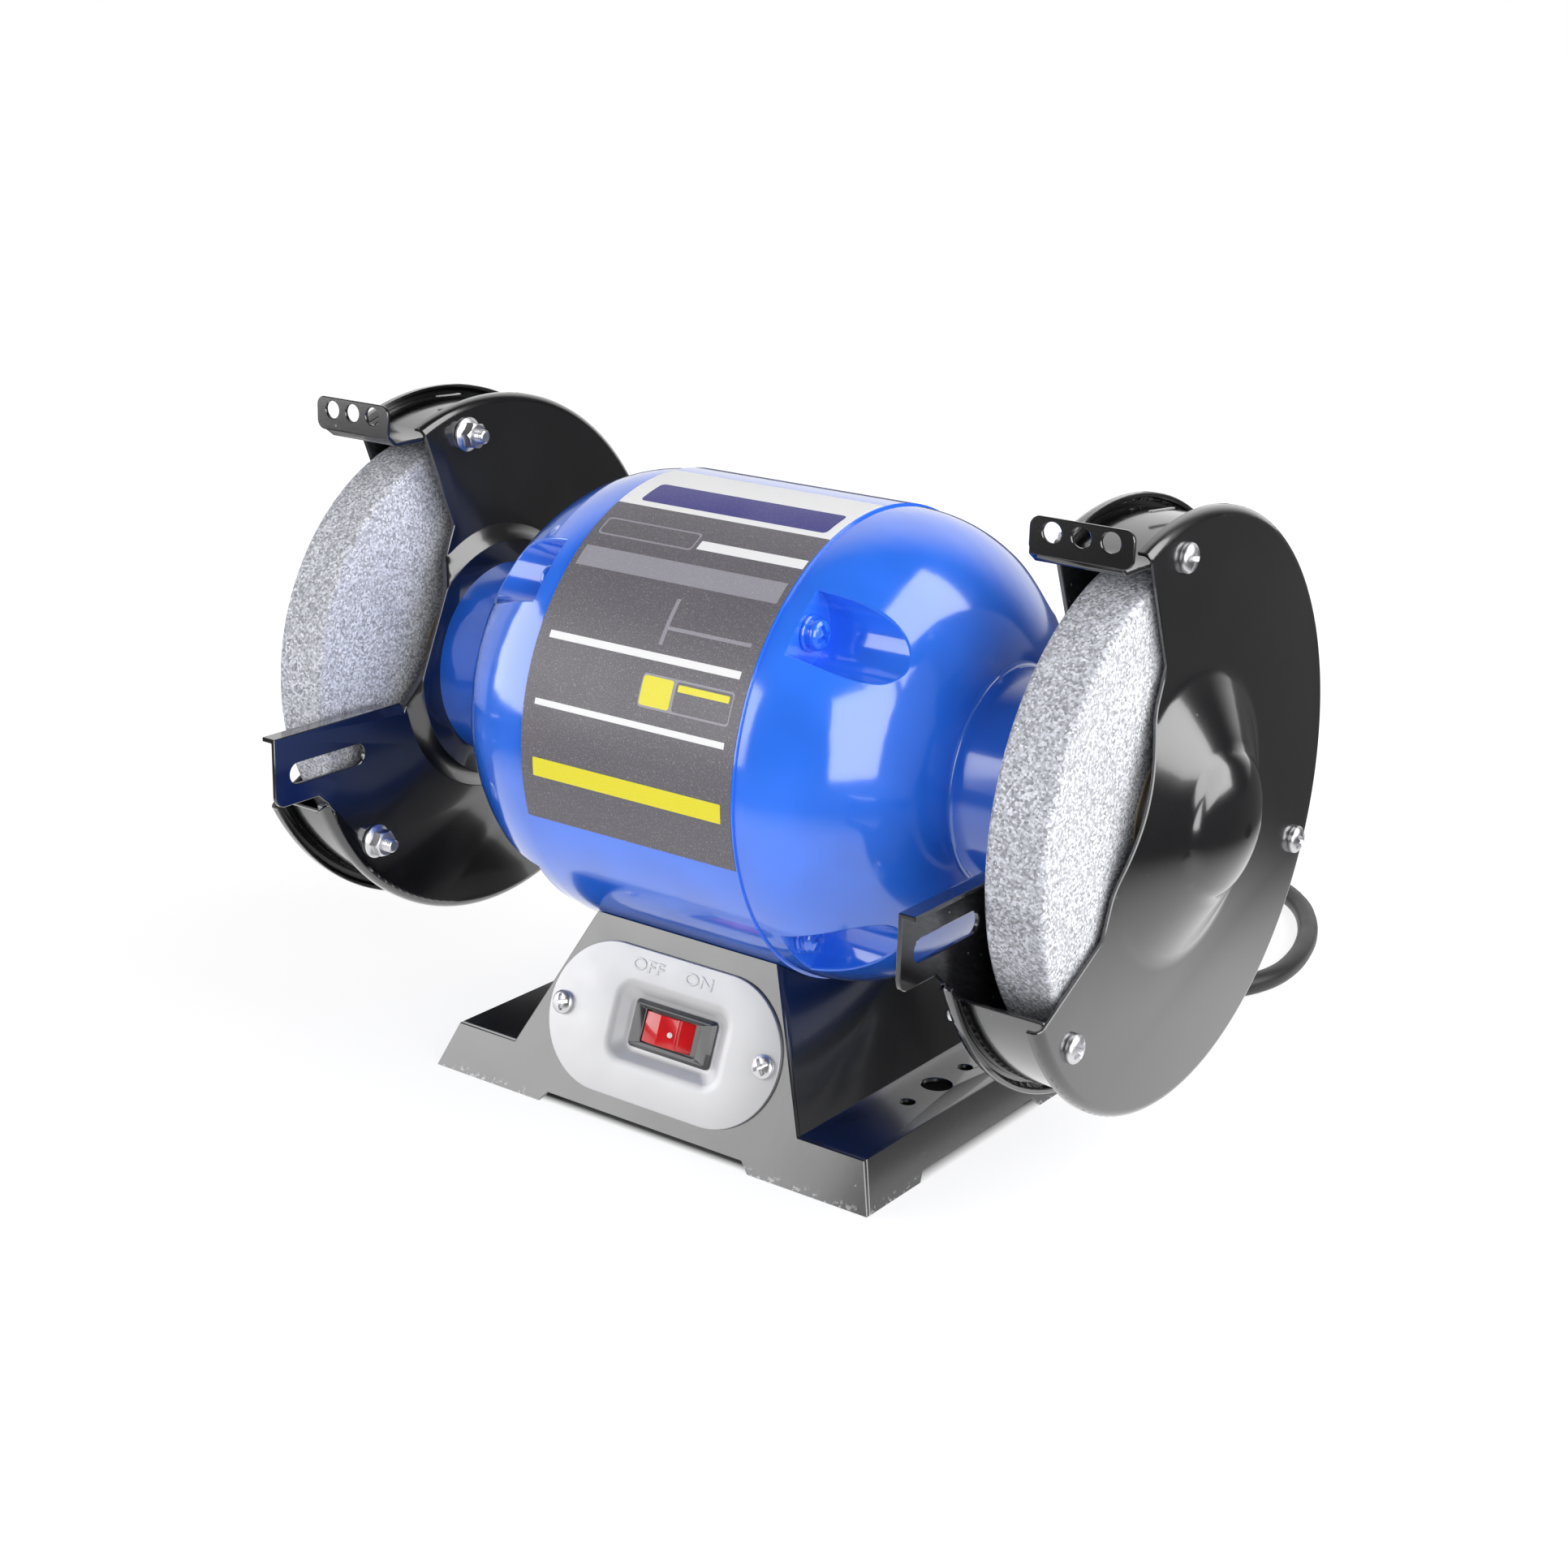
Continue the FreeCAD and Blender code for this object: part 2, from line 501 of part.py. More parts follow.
# Inner guard: shallow pan on the neck, open at the mouth, with the slotted ear for a tool rest
guard = body("inner_guard_right")
turned(guard, [("neck_end", "guard_hole"), ("neck_end + guard_wall", "guard_hole"),
               ("neck_end + guard_wall", "boss_top - 1"), ("guard_inside", "boss_foot - 1"),
               ("guard_inside", "guard_radius - guard_shoulder"),
               ("guard_face + guard_shoulder", "guard_radius - guard_wall", "-(guard_shoulder - guard_wall)"),
               ("guard_face + guard_lip", "guard_radius - guard_wall"),
               ("guard_face + guard_lip", "guard_radius"),
               ("guard_face + guard_shoulder", "guard_radius"),
               ("guard_face", "guard_radius - guard_shoulder", "guard_shoulder"),
               ("guard_face", "boss_foot"), ("neck_end", "boss_top")])
pocket(guard, outline(guard, "YZ_Plane", [
    polar("mouth_depth", "mouth_high"), polar("mouth_foot", "-mouth_foot_angle"),
    polar("mouth_foot + 12", "-23"),
    polar("guard_radius + 10", "-23"), polar("1.7 * guard_radius", "-15"),
    polar("2 * guard_radius", "mouth_high / 2"),
    polar("1.7 * guard_radius", "mouth_high")]), both=True)
pad(guard, outline(guard, "YZ_Plane", [
    polar("mouth_foot - 0.5", "-10"), polar("mouth_foot - 0.5", "-30"), polar("guard_radius - 5.1", "-34.4"),
    polar("guard_radius - 1.4", "-22.2"), ("-(guard_radius - 4)", "-ear_low"),
    ("-(ear_reach - ear_corner)", "-ear_low"),
    ("-ear_reach", "-(ear_low - ear_corner)", "-ear_corner"), ("-ear_reach", "-ear_top"),
    ("-mouth_foot", "-ear_top")], "guard_face"), "guard_wall")
pad(guard, outline(guard, "YZ_Plane", [
    ("-ear_reach", "-ear_top"), ("-(mouth_foot + 6)", "-ear_top"),
    ("-(mouth_foot + 6)", "-(ear_top + guard_wall)"),
    ("-ear_reach", "-(ear_top + guard_wall)")], "guard_face"), "ear_lip")
slot_high, slot_low = "-(rest_slot_drop - rest_slot_radius)", "-(rest_slot_drop + rest_slot_radius)"
pocket(guard, outline(guard, "YZ_Plane", [
    ("-rest_slot_back", slot_low),
    ("-rest_slot_back + rest_slot_radius", "-rest_slot_drop", "rest_slot_radius"),
    ("-rest_slot_back", slot_high, "rest_slot_radius"), ("-rest_slot_front", slot_high),
    ("-rest_slot_front - rest_slot_radius", "-rest_slot_drop", "rest_slot_radius"),
    ("-rest_slot_front", slot_low, "rest_slot_radius")]), both=True)
bolt_ring = [polar("bolt_circle", "bolt_angle + %d" % turn) for turn in (0, 120, 240)]
pocket(guard, discs(guard, "YZ_Plane", bolt_ring, "bolt_radius + 0.2"), both=True)
pocket(guard, discs(guard, "YZ_Plane", mount_spots, "screw_radius + 0.2"), both=True)
pair("inner_guard", guard)
mount = body("guard_mount_screws_right", loose=True)
for start, length, radius in (("neck_end - 8.5", "8.5 + guard_wall", "screw_radius - 0.05"),
                              ("neck_end + guard_wall", "1.6", "4.2"),
                              ("neck_end + guard_wall + 1.6", "0.7", "3.2")):
    pad(mount, discs(mount, "YZ_Plane", mount_spots, radius, start), length)
pair("guard_mount_screws", mount)

# Rim band round the wheel, bent up at its front end into a tab with three holes
rim = body("guard_band_right")
turns = ["mouth_high", "mouth_high + 80", "mouth_high + 165", "360 - rim_low"]
ring = [polar("rim_radius", turns[0])] + [polar("rim_radius", t) + ("-rim_radius",) for t in turns[1:]]
back_ring = [polar("rim_radius - rim_wall", turns[3])]
back_ring += [polar("rim_radius - rim_wall", t) + ("rim_radius - rim_wall",) for t in turns[2::-1]]
pad(rim, outline(rim, "YZ_Plane", ring + back_ring, "guard_inside + 0.02"),
    "cover_inside - guard_inside - 0.04")
pad(rim, outline(rim, "YZ_Plane", [
    polar("rim_radius - rim_wall", "mouth_high + 1"), polar("rim_radius", "mouth_high + 1"),
    ("-(tab_reach - 4)", "tab_foot + rim_wall"), ("-(tab_reach - rim_wall)", "tab_foot + 3.5"),
    ("-(tab_reach - rim_wall)", "tab_foot + 6"), ("-tab_reach", "tab_foot + 6"),
    ("-tab_reach", "tab_foot + 2.5"),
    ("-(tab_reach - 3.5)", "tab_foot")], "guard_inside + 0.02"), "cover_inside - guard_inside - 0.04")
pad(rim, outline(rim, "XZ_Plane", rectangle("tab_middle", "(tab_foot + 2.4 + tab_top) / 2", "tab_width",
                                            "tab_top - tab_foot - 2.4", "tab_corner"),
                 "tab_reach - rim_wall"), "rim_wall")
tab_spots = [("tab_middle + (%d) * tab_pitch" % step, "tab_foot + 9.2") for step in (-1, 0, 1)]
pocket(rim, discs(rim, "XZ_Plane", tab_spots, "tab_hole", "tab_reach - 5"), "10", back=True)
pair("guard_band", rim)

# Outer cover: pan with a stepped dome over the spindle nut
cover = body("outer_cover_right")
turned(cover, [("apex", "0"), ("crown", "crown_radius", "crown_arc"),
               ("crease", "crease_radius", "dome_edge"), ("fillet_end", "fillet_radius"),
               ("cover_face", "bulge_radius", "-bulge_fillet"),
               ("cover_face", "guard_radius - cover_shoulder"),
               ("cover_face - cover_shoulder", "guard_radius", "cover_shoulder"),
               ("cover_face - cover_lip", "guard_radius"),
               ("cover_face - cover_lip", "guard_radius - cover_wall"),
               ("cover_face - cover_shoulder", "guard_radius - cover_wall"),
               ("cover_inside", "guard_radius - cover_shoulder", "-(cover_shoulder - cover_wall)"),
               ("cover_inside", "bulge_radius"), ("fillet_end - cover_wall", "fillet_radius", "bulge_fillet"),
               ("crease - cover_wall", "crease_radius"), ("crown - cover_wall", "crown_radius", "-dome_edge"),
               ("apex - cover_wall", "0", "-crown_arc")])
pocket(cover, outline(cover, "YZ_Plane", [
    polar("mouth_depth", "mouth_high"), polar("mouth_depth", "-mouth_low"),
    polar("1.5 * guard_radius", "-mouth_low"),
    polar("2 * guard_radius", "0"), polar("2 * guard_radius", "mouth_high / 2"),
    polar("1.5 * guard_radius", "mouth_high")]),
    both=True)
pocket(cover, discs(cover, "YZ_Plane", bolt_ring, "bolt_radius + 0.2"), both=True)
pair("outer_cover", cover)

# Guard bolts through both pans and flange nuts on the motor side
bolts = body("guard_screws_right", loose=True)
for start, length, radius in (("guard_face - 9", "cover_face + 9.2 - guard_face", "bolt_radius"),
                              ("cover_face", "2.1", "4.4"),
                              ("cover_face + 2.1", "0.9", "3.3")):
    pad(bolts, discs(bolts, "YZ_Plane", bolt_ring, radius, start), length)
pair("guard_screws", bolts)
nuts = body("guard_nuts_right", loose=True)
pad(nuts, discs(nuts, "YZ_Plane", bolt_ring, "5.6", "guard_face - 1.2"), "1.2")
for spot in bolt_ring:
    pad(nuts, outline(nuts, "YZ_Plane", hexagon(spot[0], spot[1], "8"), "guard_face - 5.4"), "4.4")
pocket(nuts, discs(nuts, "YZ_Plane", bolt_ring, "bolt_radius + 0.05"), both=True)
pair("guard_nuts", nuts)

# Base: bent saddle sheet between two sloping plates
HALF = [("base_half", "0"), ("foot_top", "foot_height"), ("pedestal_foot", "foot_height"),
        ("pedestal_head", "pedestal_height")]
on_floor = {"up": "0"}


def both_sides(path):
    return path + [("-(%s)" % x, z) for x, z in path[::-1]]


block = body("saddle_block", **on_floor)
pad(block, outline(block, "XZ_Plane", both_sides(HALF)), "base_depth", both=True)
front_inside = "(depth_half - sheet_run - 0.02)"
slice_path = [("-(%s)" % front_inside, "0"), (front_inside, "0"),
              ("%s - skirt_slope * 70" % front_inside, "70"),
              ("-(%s - skirt_slope * 70)" % front_inside, "70")]
wedge = body("saddle_wedge", **on_floor)
pad(wedge, outline(wedge, "YZ_Plane", slice_path), "base_width + 10", both=True)
room = body("saddle_room", **on_floor)
pad(room, outline(room, "XZ_Plane", both_sides([
    ("base_half - sheet_run + skirt_slope * 2", "-2"), ("foot_top - sheet_run", "foot_height - sheet"),
    ("pedestal_foot - pedestal_run", "foot_height - sheet"), ("pedestal_foot - pedestal_run", "foot_height"),
    ("pedestal_head - pedestal_run", "pedestal_height"),
    ("pedestal_head - pedestal_run - pedestal_lean", "pedestal_height + 1")])),
    "base_depth + 10", both=True)
drum = body("saddle_drum")
pad(drum, discs(drum, "YZ_Plane", [("0", "0")], "seat_radius + sheet"), "base_width", both=True)
seat = body("saddle_seat")
pad(seat, discs(seat, "YZ_Plane", [("0", "0")], "seat_radius"), "base_width", both=True)
solid = join("Cut", "saddle_solid", join("Common", "saddle_core", block, wedge), seat)
bent = join("Cut", "saddle_bent", solid, join("Cut", "saddle_space", room, drum))
holes = body("saddle_holes", loose=True, **on_floor)
sides = [("bench_hole_spread", ""), ("-bench_hole_spread", "")]
pad(holes, discs(holes, "XY_Plane", [(x, "0") for x, z in sides], "bench_bolt_hole"), "30")
pad(holes, discs(holes, "XY_Plane", [(x, s + "bench_screw_spread") for x, z in sides for s in ("", "-")],
                 "bench_screw_hole"), "30")
pad(holes, discs(holes, "XY_Plane", bolt_spots, "motor_bolt + 0.3", "25"), "30")
pad(holes, outline(holes, "YZ_Plane", [
    ("-pad_side", "-1"), ("pad_side", "-1"), ("pad_side", "0"), ("pad_side - 3", "pad_rise"),
    ("-(pad_side - 3)", "pad_rise"), ("-pad_side", "0")]), "base_width + 10", both=True)
node("base_saddle", join("Cut", "base_saddle", bent, holes))

bolts = body("motor_bolts", loose=True)
pad(bolts, discs(bolts, "XY_Plane", bolt_spots, "motor_bolt", "-(seat_radius + sheet + 0.3)"), "12")
pad(bolts, discs(bolts, "XY_Plane", bolt_spots, "6.2", "-(seat_radius + sheet + 1.5)"), "1.4")
for spot in bolt_spots:
    pad(bolts, outline(bolts, "XY_Plane", hexagon(spot[0], spot[1], "10"), "-(seat_radius + sheet + 5.5)"),
        "4.1")
node("motor_bolts", bolts)

# Front and rear plates: the same sloping outline with raised bottom edge and an inward lip
PLATE = [("pad_front", "0"), ("base_half", "0"), ("foot_top", "foot_height"),
         ("pedestal_foot", "foot_height"),
         ("pedestal_head", "pedestal_height")]
slope_frame = {"back": "row_shift - front_at_plate", "up": "plate_level",
               "tilt": "90 - atan(skirt_slope) / 1 deg"}
plate_screws = [("-plate_screw_spread", "0"), ("plate_screw_spread", "0")]
for name, sign in (("base_front_plate", "-"), ("base_rear_plate", "")):
    face = body(name + "_face", **on_floor)
    bottom = [("-(pad_front - 3)", "pad_rise"), ("pad_front - 3", "pad_rise")]
    pad(face, outline(face, "XZ_Plane", bottom + both_sides(PLATE)), "base_depth + 10", both=True)
    slab = body(name + "_slab", **on_floor)
    out, back = "%s(depth_half)" % sign, "%s(depth_half - sheet_run)" % sign
    lean = "+ skirt_slope" if sign else "- skirt_slope"
    pad(slab, outline(slab, "YZ_Plane", [(back, "0"), (out, "0"), ("%s %s * 70" % (out, lean), "70"),
                                         ("%s %s * 70" % (back, lean), "70")]), "base_width + 10", both=True)
    sheet_plate = join("Cut", name + "_trimmed", join("Common", name + "_sheet", face, slab), seat)
    lip = body(name + "_lip", **on_floor)
    pad(lip, outline(lip, "XY_Plane", [
        ("-(cover_screw_spread + 9)", sign + "(lip_root)"), ("cover_screw_spread + 9", sign + "(lip_root)"),
        ("cover_screw_spread + 9", sign + "(lip_root - lip_width)"),
        ("-(cover_screw_spread + 9)", sign + "(lip_root - lip_width)")], "lip_level + 1.02"), "sheet")
    cuts = body(name + "_cuts", loose=True, **(slope_frame if sign else on_floor))
    if sign:
        pad(cuts, outline(cuts, "XY_Plane", rectangle("switch_shift", "0", "recess_length + 3",
                                                      "recess_height + 3")),
            "12", both=True)
        pad(cuts, discs(cuts, "XY_Plane", plate_screws, "1.85"), "8", both=True)
    else:
        pad(cuts, discs(cuts, "XZ_Plane", [("relief_across", "relief_level")], "relief_hole",
                        "-base_depth"), "base_depth")
    screw_cuts = body(name + "_screw_cuts", loose=True, **on_floor)
    pad(screw_cuts, discs(screw_cuts, "XY_Plane", [("cover_screw_spread", sign + "cover_screw_depth"),
                                                   ("-cover_screw_spread", sign + "cover_screw_depth")],
                          "1.85"), "40")
    drilled = join("Cut", name + "_lip_drilled", lip, screw_cuts)
    node(name, join("Cut", name, join("Fuse", name + "_whole", sheet_plate, drilled), cuts))

# Bottom cover screwed up into the lips
floor_plate = body("bottom_cover", **on_floor)
reach = "(depth_half - skirt_slope * lip_level - sheet_run - 0.6)"
pad(floor_plate, outline(floor_plate, "XY_Plane", rectangle("0", "0", "cover_plate_width", "2 * " + reach),
                         "lip_level"),
    "cover_plate")
cover_spots = [(sx + "cover_screw_spread", sy + "cover_screw_depth") for sx in ("", "-") for sy in ("", "-")]
pocket(floor_plate, discs(floor_plate, "XY_Plane", cover_spots, "2.1"), both=True)
node("bottom_cover", floor_plate)
cover_screws = body("bottom_cover_screws", loose=True, **on_floor)
for start, length, radius in (("lip_level - 2", "8", "1.8"), ("lip_level - 2", "1.98", "3.6")):
    pad(cover_screws, discs(cover_screws, "XY_Plane", cover_spots, radius, start), length)
node("bottom_cover_screws", cover_screws)

# Capacitor lying across the base, and its strap on the bottom cover
can = body("run_capacitor", up="can_level", back="row_shift + can_back")
pad(can, discs(can, "YZ_Plane", [("0", "0")], "can_radius"), "can_length", both=True)
pad(can, outline(can, "YZ_Plane", rectangle("-6", "0", "0.8", "6.3"), "can_length / 2"), "8")
pad(can, outline(can, "YZ_Plane", rectangle("6", "0", "0.8", "6.3"), "can_length / 2"), "8")
node("run_capacitor", can)
clip = body("capacitor_clip", up="can_level", back="row_shift + can_back")
near, far = "(can_radius + 0.05)", "(can_radius + 0.05 + clip_wall)"
level = "-(can_level - lip_level - cover_plate - 0.02)"
step = "%s + clip_wall" % level
pad(clip, outline(clip, "YZ_Plane", [
    (near, level), (far + " + 8", level), (far + " + 8", step), (far, step), (far, "0"), ("0", far, far),
    ("-" + far, "0", far), ("-" + far, step), ("-(%s + 8)" % far, step), ("-(%s + 8)" % far, level),
    ("-" + near, level), ("-" + near, "0"), ("0", near, "-" + near), (near, "0", "-" + near)]),
    "clip_width", both=True)
node("capacitor_clip", clip)

# Switch: bright plate with a pressed recess, housing with bezel, rocker resting with its right side in
panel = body("switch_plate", **slope_frame)
half, end = "plate_height / 2", "(plate_length - plate_height) / 2"
pad(panel, outline(panel, "XY_Plane", [
    (end, "-(%s)" % half), ("plate_length / 2", "0", half), (end, half, half),
    ("-" + end, half), ("-plate_length / 2", "0", half), ("-" + end, "-(%s)" % half, half)], "0.02"),
    "plate_wall")


def pressed(kind, wall, top, depth):
    """Loft between the mouth of the recess and its shelf, grown by the wall."""
    sections = [outline(panel, "XY_Plane", rectangle("switch_shift", rise, length + wall, height + wall,
                                                     corner), level)
                for length, height, corner, rise, level in (
                    ("recess_length", "recess_height", "recess_corner", "0", top),
                    ("shelf_length", "shelf_height", "shelf_corner", "switch_rise", depth))]
    feature = panel.newObject("PartDesign::" + kind, "switch_plate_" + kind.lower())
    feature.Profile = sections[0]
    feature.Sections = [sections[1]]
    feature.Ruled = True
    panel.Tip = feature


pressed("AdditiveLoft", " + 1.6", "0.02", "shelf_level - plate_wall")
pressed("SubtractiveLoft", "", "plate_wall + 0.02", "shelf_level")
pocket(panel, outline(panel, "XY_Plane", rectangle("switch_shift", "switch_rise", "switch_length + 0.4",
                                                   "switch_height + 0.4")), both=True)
pocket(panel, discs(panel, "XY_Plane", plate_screws, "2.1"), both=True)
node("switch_plate", panel)
plate_bolts = body("switch_plate_screws", loose=True, **slope_frame)
for start, length, radius in (("-6", "7.5", "1.8"), ("plate_wall + 0.02", "1.5", "3.9"),
                              ("plate_wall + 1.52", "0.7", "2.9")):
    pad(plate_bolts, discs(plate_bolts, "XY_Plane", plate_screws, radius, start), length)
node("switch_plate_screws", plate_bolts)
case = body("switch_housing", **slope_frame)
pad(case, outline(case, "XY_Plane", rectangle("switch_shift", "switch_rise", "bezel_length", "bezel_height",
                                              "1.5"),
                  "shelf_level"), "bezel_rise")
pad(case, outline(case, "XY_Plane", rectangle("switch_shift", "switch_rise", "switch_length",
                                              "switch_height"),
                  "shelf_level"), "switch_depth", back=True)
pocket(case, outline(case, "XY_Plane", rectangle("switch_shift", "switch_rise", "opening_length",
                                                 "opening_height"),
                     "shelf_level + bezel_rise - chamber_depth"), "20", back=True)
pocket(case, outline(case, "XY_Plane", rectangle("switch_shift", "switch_rise", "chamber_length",
                                                 "opening_height"),
                     "shelf_level + bezel_rise - opening_wall"), "chamber_depth - opening_wall")
for spot in ("-8", "0", "8"):
    pad(case, outline(case, "XY_Plane", rectangle("switch_shift + %s" % spot, "switch_rise", "0.8", "6.3"),
                      "shelf_level - switch_depth"), "8", back=True)
pocket(case, discs(case, "XZ_Plane", [("switch_shift", "pivot_level")], "rocker_pin + 0.05"), both=True)
node("switch_housing", case)
rocker = body("switch_rocker", across="switch_shift",
              back="row_shift - front_at_plate - pivot_level * slope_up + switch_rise * slope_back",
              up="plate_level + pivot_level * slope_back + switch_rise * slope_up", tilt=slope_frame["tilt"])
pad(rocker, outline(rocker, "XZ_Plane", [
    ("-rocker_foot / 2", "-rocker_depth"), ("rocker_foot / 2", "-rocker_depth"), ("rocker_length / 2", "0"),
    ("rocker_length / 2", "rocker_low"), ("ridge_shift", "rocker_ridge"),
    ("-rocker_length / 2", "rocker_high"),
    ("-rocker_length / 2", "0")]), "rocker_height", both=True)
pad(rocker, discs(rocker, "XZ_Plane", [("0", "0")], "rocker_pin"), "opening_height + 2 * pin_reach",
    both=True)
node("switch_rocker", rocker)

# Cord: strain relief on the rear plate, laid run, put-away coil and plug
cord_radius = size("cord_diameter") / 2
rear = "(depth_half - skirt_slope * relief_level)"
relief_body = body("relief_turned", across="relief_across", back="row_shift", up="relief_level")


def lengthwise(item, path):
    """Solid of revolution about the body's Y axis, from (radius, distance back) pairs."""
    sketch = outline(item, "XY_Plane", path)
    feature = item.newObject("PartDesign::Revolution", item.Name + "_turned")
    feature.Profile = sketch
    feature.ReferenceAxis = (sketch, ["V_Axis"])
    feature.Angle = 360.0
    item.Tip = feature
    return feature


gap = "cord_diameter / 2 + 0.05"
lengthwise(relief_body, [
    (gap, rear + " - 8"), ("relief_hole - 0.1", rear + " - 8"), ("relief_hole - 0.1", rear), ("9", rear),
    ("9", rear + " + 6"),
    ("7", rear + " + 7"), ("5.6", rear + " + relief_length"), (gap, rear + " + relief_length")])
flush = body("relief_flush", **on_floor)
pad(flush, outline(flush, "YZ_Plane", [
    ("depth_half + 0.02 - 30", "0"), ("depth_half + 0.02", "0"),
    ("depth_half + 0.02 - skirt_slope * 50", "50"),
    ("depth_half - 30 - skirt_slope * 50", "50")]), "base_width", both=True)
core = body("relief_core", **on_floor)
pad(core, discs(core, "XZ_Plane", [("relief_across", "relief_level")], "relief_hole - 0.1", "-base_depth"),
    "base_depth")
node("strain_relief", join("Cut", "strain_relief", relief_body, join("Cut", "relief_trim", flush, core)))

row_shift = size("row_shift")
start_back = size(rear + " + row_shift")
tie_room, tie_wall = size("tie_room"), size("tie_wall")
lift = cord_radius + tie_room + tie_wall + 0.1
ROUTE = [
    V(40, start_back - 6, 22), V(40, start_back + 38, 22), V(48, start_back + 61, 15),
    V(66, start_back + 80, 6.5),
    V(89, start_back + 93, lift), V(101.5, start_back + 117, lift), V(101, start_back + 143, lift),
    V(92, start_back + 174, lift), V(75, start_back + 202, lift), V(50, start_back + 218, lift),
    V(20, start_back + 225, lift)]
RIM, TURNS_IN, TURNS_OUT = size("coil_radius"), 2.5, 2.5
coil_rate = size("coil_pitch") / math.tau
entry = V(-RIM, -coil_rate, 0).normalize()
ROUTE.append(ROUTE[-1] + entry * 30)
COIL_MIDDLE = ROUTE[-1] + entry * size("cord_diameter") - V(0, RIM, 0)


def bend(corner, before, after):
    """Radius and the two tangent points of the arc that rounds a corner of the route."""
    incoming, outgoing = (corner - before), (after - corner)
    shorter = min(incoming.Length, outgoing.Length)
    turn = incoming.getAngle(outgoing)
    reach = 0.45 * shorter
    first = corner - incoming.normalize() * reach
    last = corner + outgoing.normalize() * reach
    return reach / math.tan(turn / 2), first, last, turn


def arc_through(first, heading, last):
    """Arc that leaves a point along a heading and ends at another point."""
    chord = last - first
    across = V(heading).normalize()
    along = V(chord).normalize()
    angle = across.getAngle(along)
    side = (across - along * across.dot(along)).normalize()
    crest = (first + last) / 2 + side * (chord.Length / 2 * math.tan(angle / 2))
    return Part.Arc(first, crest, last).toShape()


def laid(route):
    edges, at, radii = [], route[0], []
    for before, corner, after in zip(route, route[1:], route[2:]):
        radius, first, last, turn = bend(corner, before, after)
        radii.append(radius)
        edges += [Part.LineSegment(at, first).toShape(), arc_through(first, corner - before, last)]
        at = last
    edges.append(Part.LineSegment(at, route[-1]).toShape())
    print("cord bend radii", [round(r, 1) for r in radii])
    return Part.Wire(edges)


def tube(path, radius):
    start = path.Edges[0]
    heading = start.tangentAt(start.FirstParameter)
    section = Part.Wire([Part.makeCircle(radius, start.valueAt(start.FirstParameter), heading)])
    shape = path.makePipeShell([section], True, False)
    print("tube length", round(path.Length, 1), "volume share",
          round(shape.Volume / (path.Length * math.pi * radius ** 2), 4))
    return shape


run = laid(ROUTE)
power_cord = doc.addObject("Part::Feature", "power_cord")
power_cord.Shape = tube(run, cord_radius)
node("power_cord", power_cord)


def biarc(first, heading, last, ending):
    """Two arcs between two points, each leaving or reaching its point along a given heading."""
    chord = last - first
    total = heading + ending
    a = 2 * (heading.dot(ending) - 1)
    b = -2 * chord.dot(total)
    c = chord.dot(chord)
    reach = (-b - math.sqrt(b * b - 4 * a * c)) / (2 * a)
    joint = (first + heading * reach + last - ending * reach) / 2
    opening = arc_through(first, heading, joint)
    closing = arc_through(last, ending * -1, joint)
    return [opening, closing]


def coil():
    pitch, rise = size("coil_pitch"), size("layer_rise")
    halves_in, halves_out = int(2 * TURNS_IN), int(2 * TURNS_OUT)
    knots = []
    for step in range(halves_in + halves_out + 2):
        outward = step > halves_in
        radius = RIM - pitch / 2 * (step if not outward else 2 * halves_in + 1 - step)
        angle = math.pi / 2 + math.pi * step
        spoke, swing = V(math.cos(angle), math.sin(angle), 0), V(-math.sin(angle), math.cos(angle), 0)
        heading = (swing * radius + spoke * (coil_rate if outward else -coil_rate)).normalize()
        knots.append((COIL_MIDDLE + spoke * radius + V(0, 0, rise if outward else 0), heading))
    stub = size("cord_diameter")
    edges = [Part.LineSegment(knots[0][0] - knots[0][1] * stub, knots[0][0]).toShape()]
    for (first, heading), (last, ending) in zip(knots, knots[1:]):
        edges += biarc(first, heading, last, ending)
    edges.append(Part.LineSegment(knots[-1][0], knots[-1][0] + knots[-1][1] * size("cord_tail")).toShape())
    return Part.Wire(Part.__sortEdges__(edges)), knots[-1]


winding, (coil_end, coil_heading) = coil()
samples = winding.discretize(Distance=1.5)
nearest = min((samples[i] - samples[j]).Length for i in range(len(samples)) for j in range(i + 30,
                                                                                           len(samples)))
print("coil gap to itself", round(nearest - 2 * cord_radius, 2), "cord length",
      round(run.Length + winding.Length, 0))
cord_coil = doc.addObject("Part::Feature", "cord_coil")
cord_coil.Shape = tube(winding, cord_radius)
node("cord_coil", cord_coil)

# Tie round the five strands on the right of the coil
tie = body("cord_tie", across=str(COIL_MIDDLE.x), back=str(COIL_MIDDLE.y), up=str(lift))
near_edge = "(coil_radius - 2.75 * coil_pitch - cord_diameter / 2 - tie_room)"
far_edge = "(coil_radius - 0.75 * coil_pitch + cord_diameter / 2 + tie_room)"
tie_middle, tie_span = "(%s + %s) / 2" % (near_edge, far_edge), "%s - %s" % (far_edge, near_edge)
tie_depth = "layer_rise + cord_diameter + 2 * tie_room"
pad(tie, outline(tie, "XZ_Plane", rectangle(tie_middle, "layer_rise / 2", tie_span + " + 2 * tie_wall",
                                            tie_depth + " + 2 * tie_wall", "cord_diameter / 2 + tie_wall")),
    "tie_width", both=True)
pocket(tie, outline(tie, "XZ_Plane", rectangle(tie_middle, "layer_rise / 2", tie_span, tie_depth,
                                               "cord_diameter / 2")), both=True)
node("cord_tie", tie)

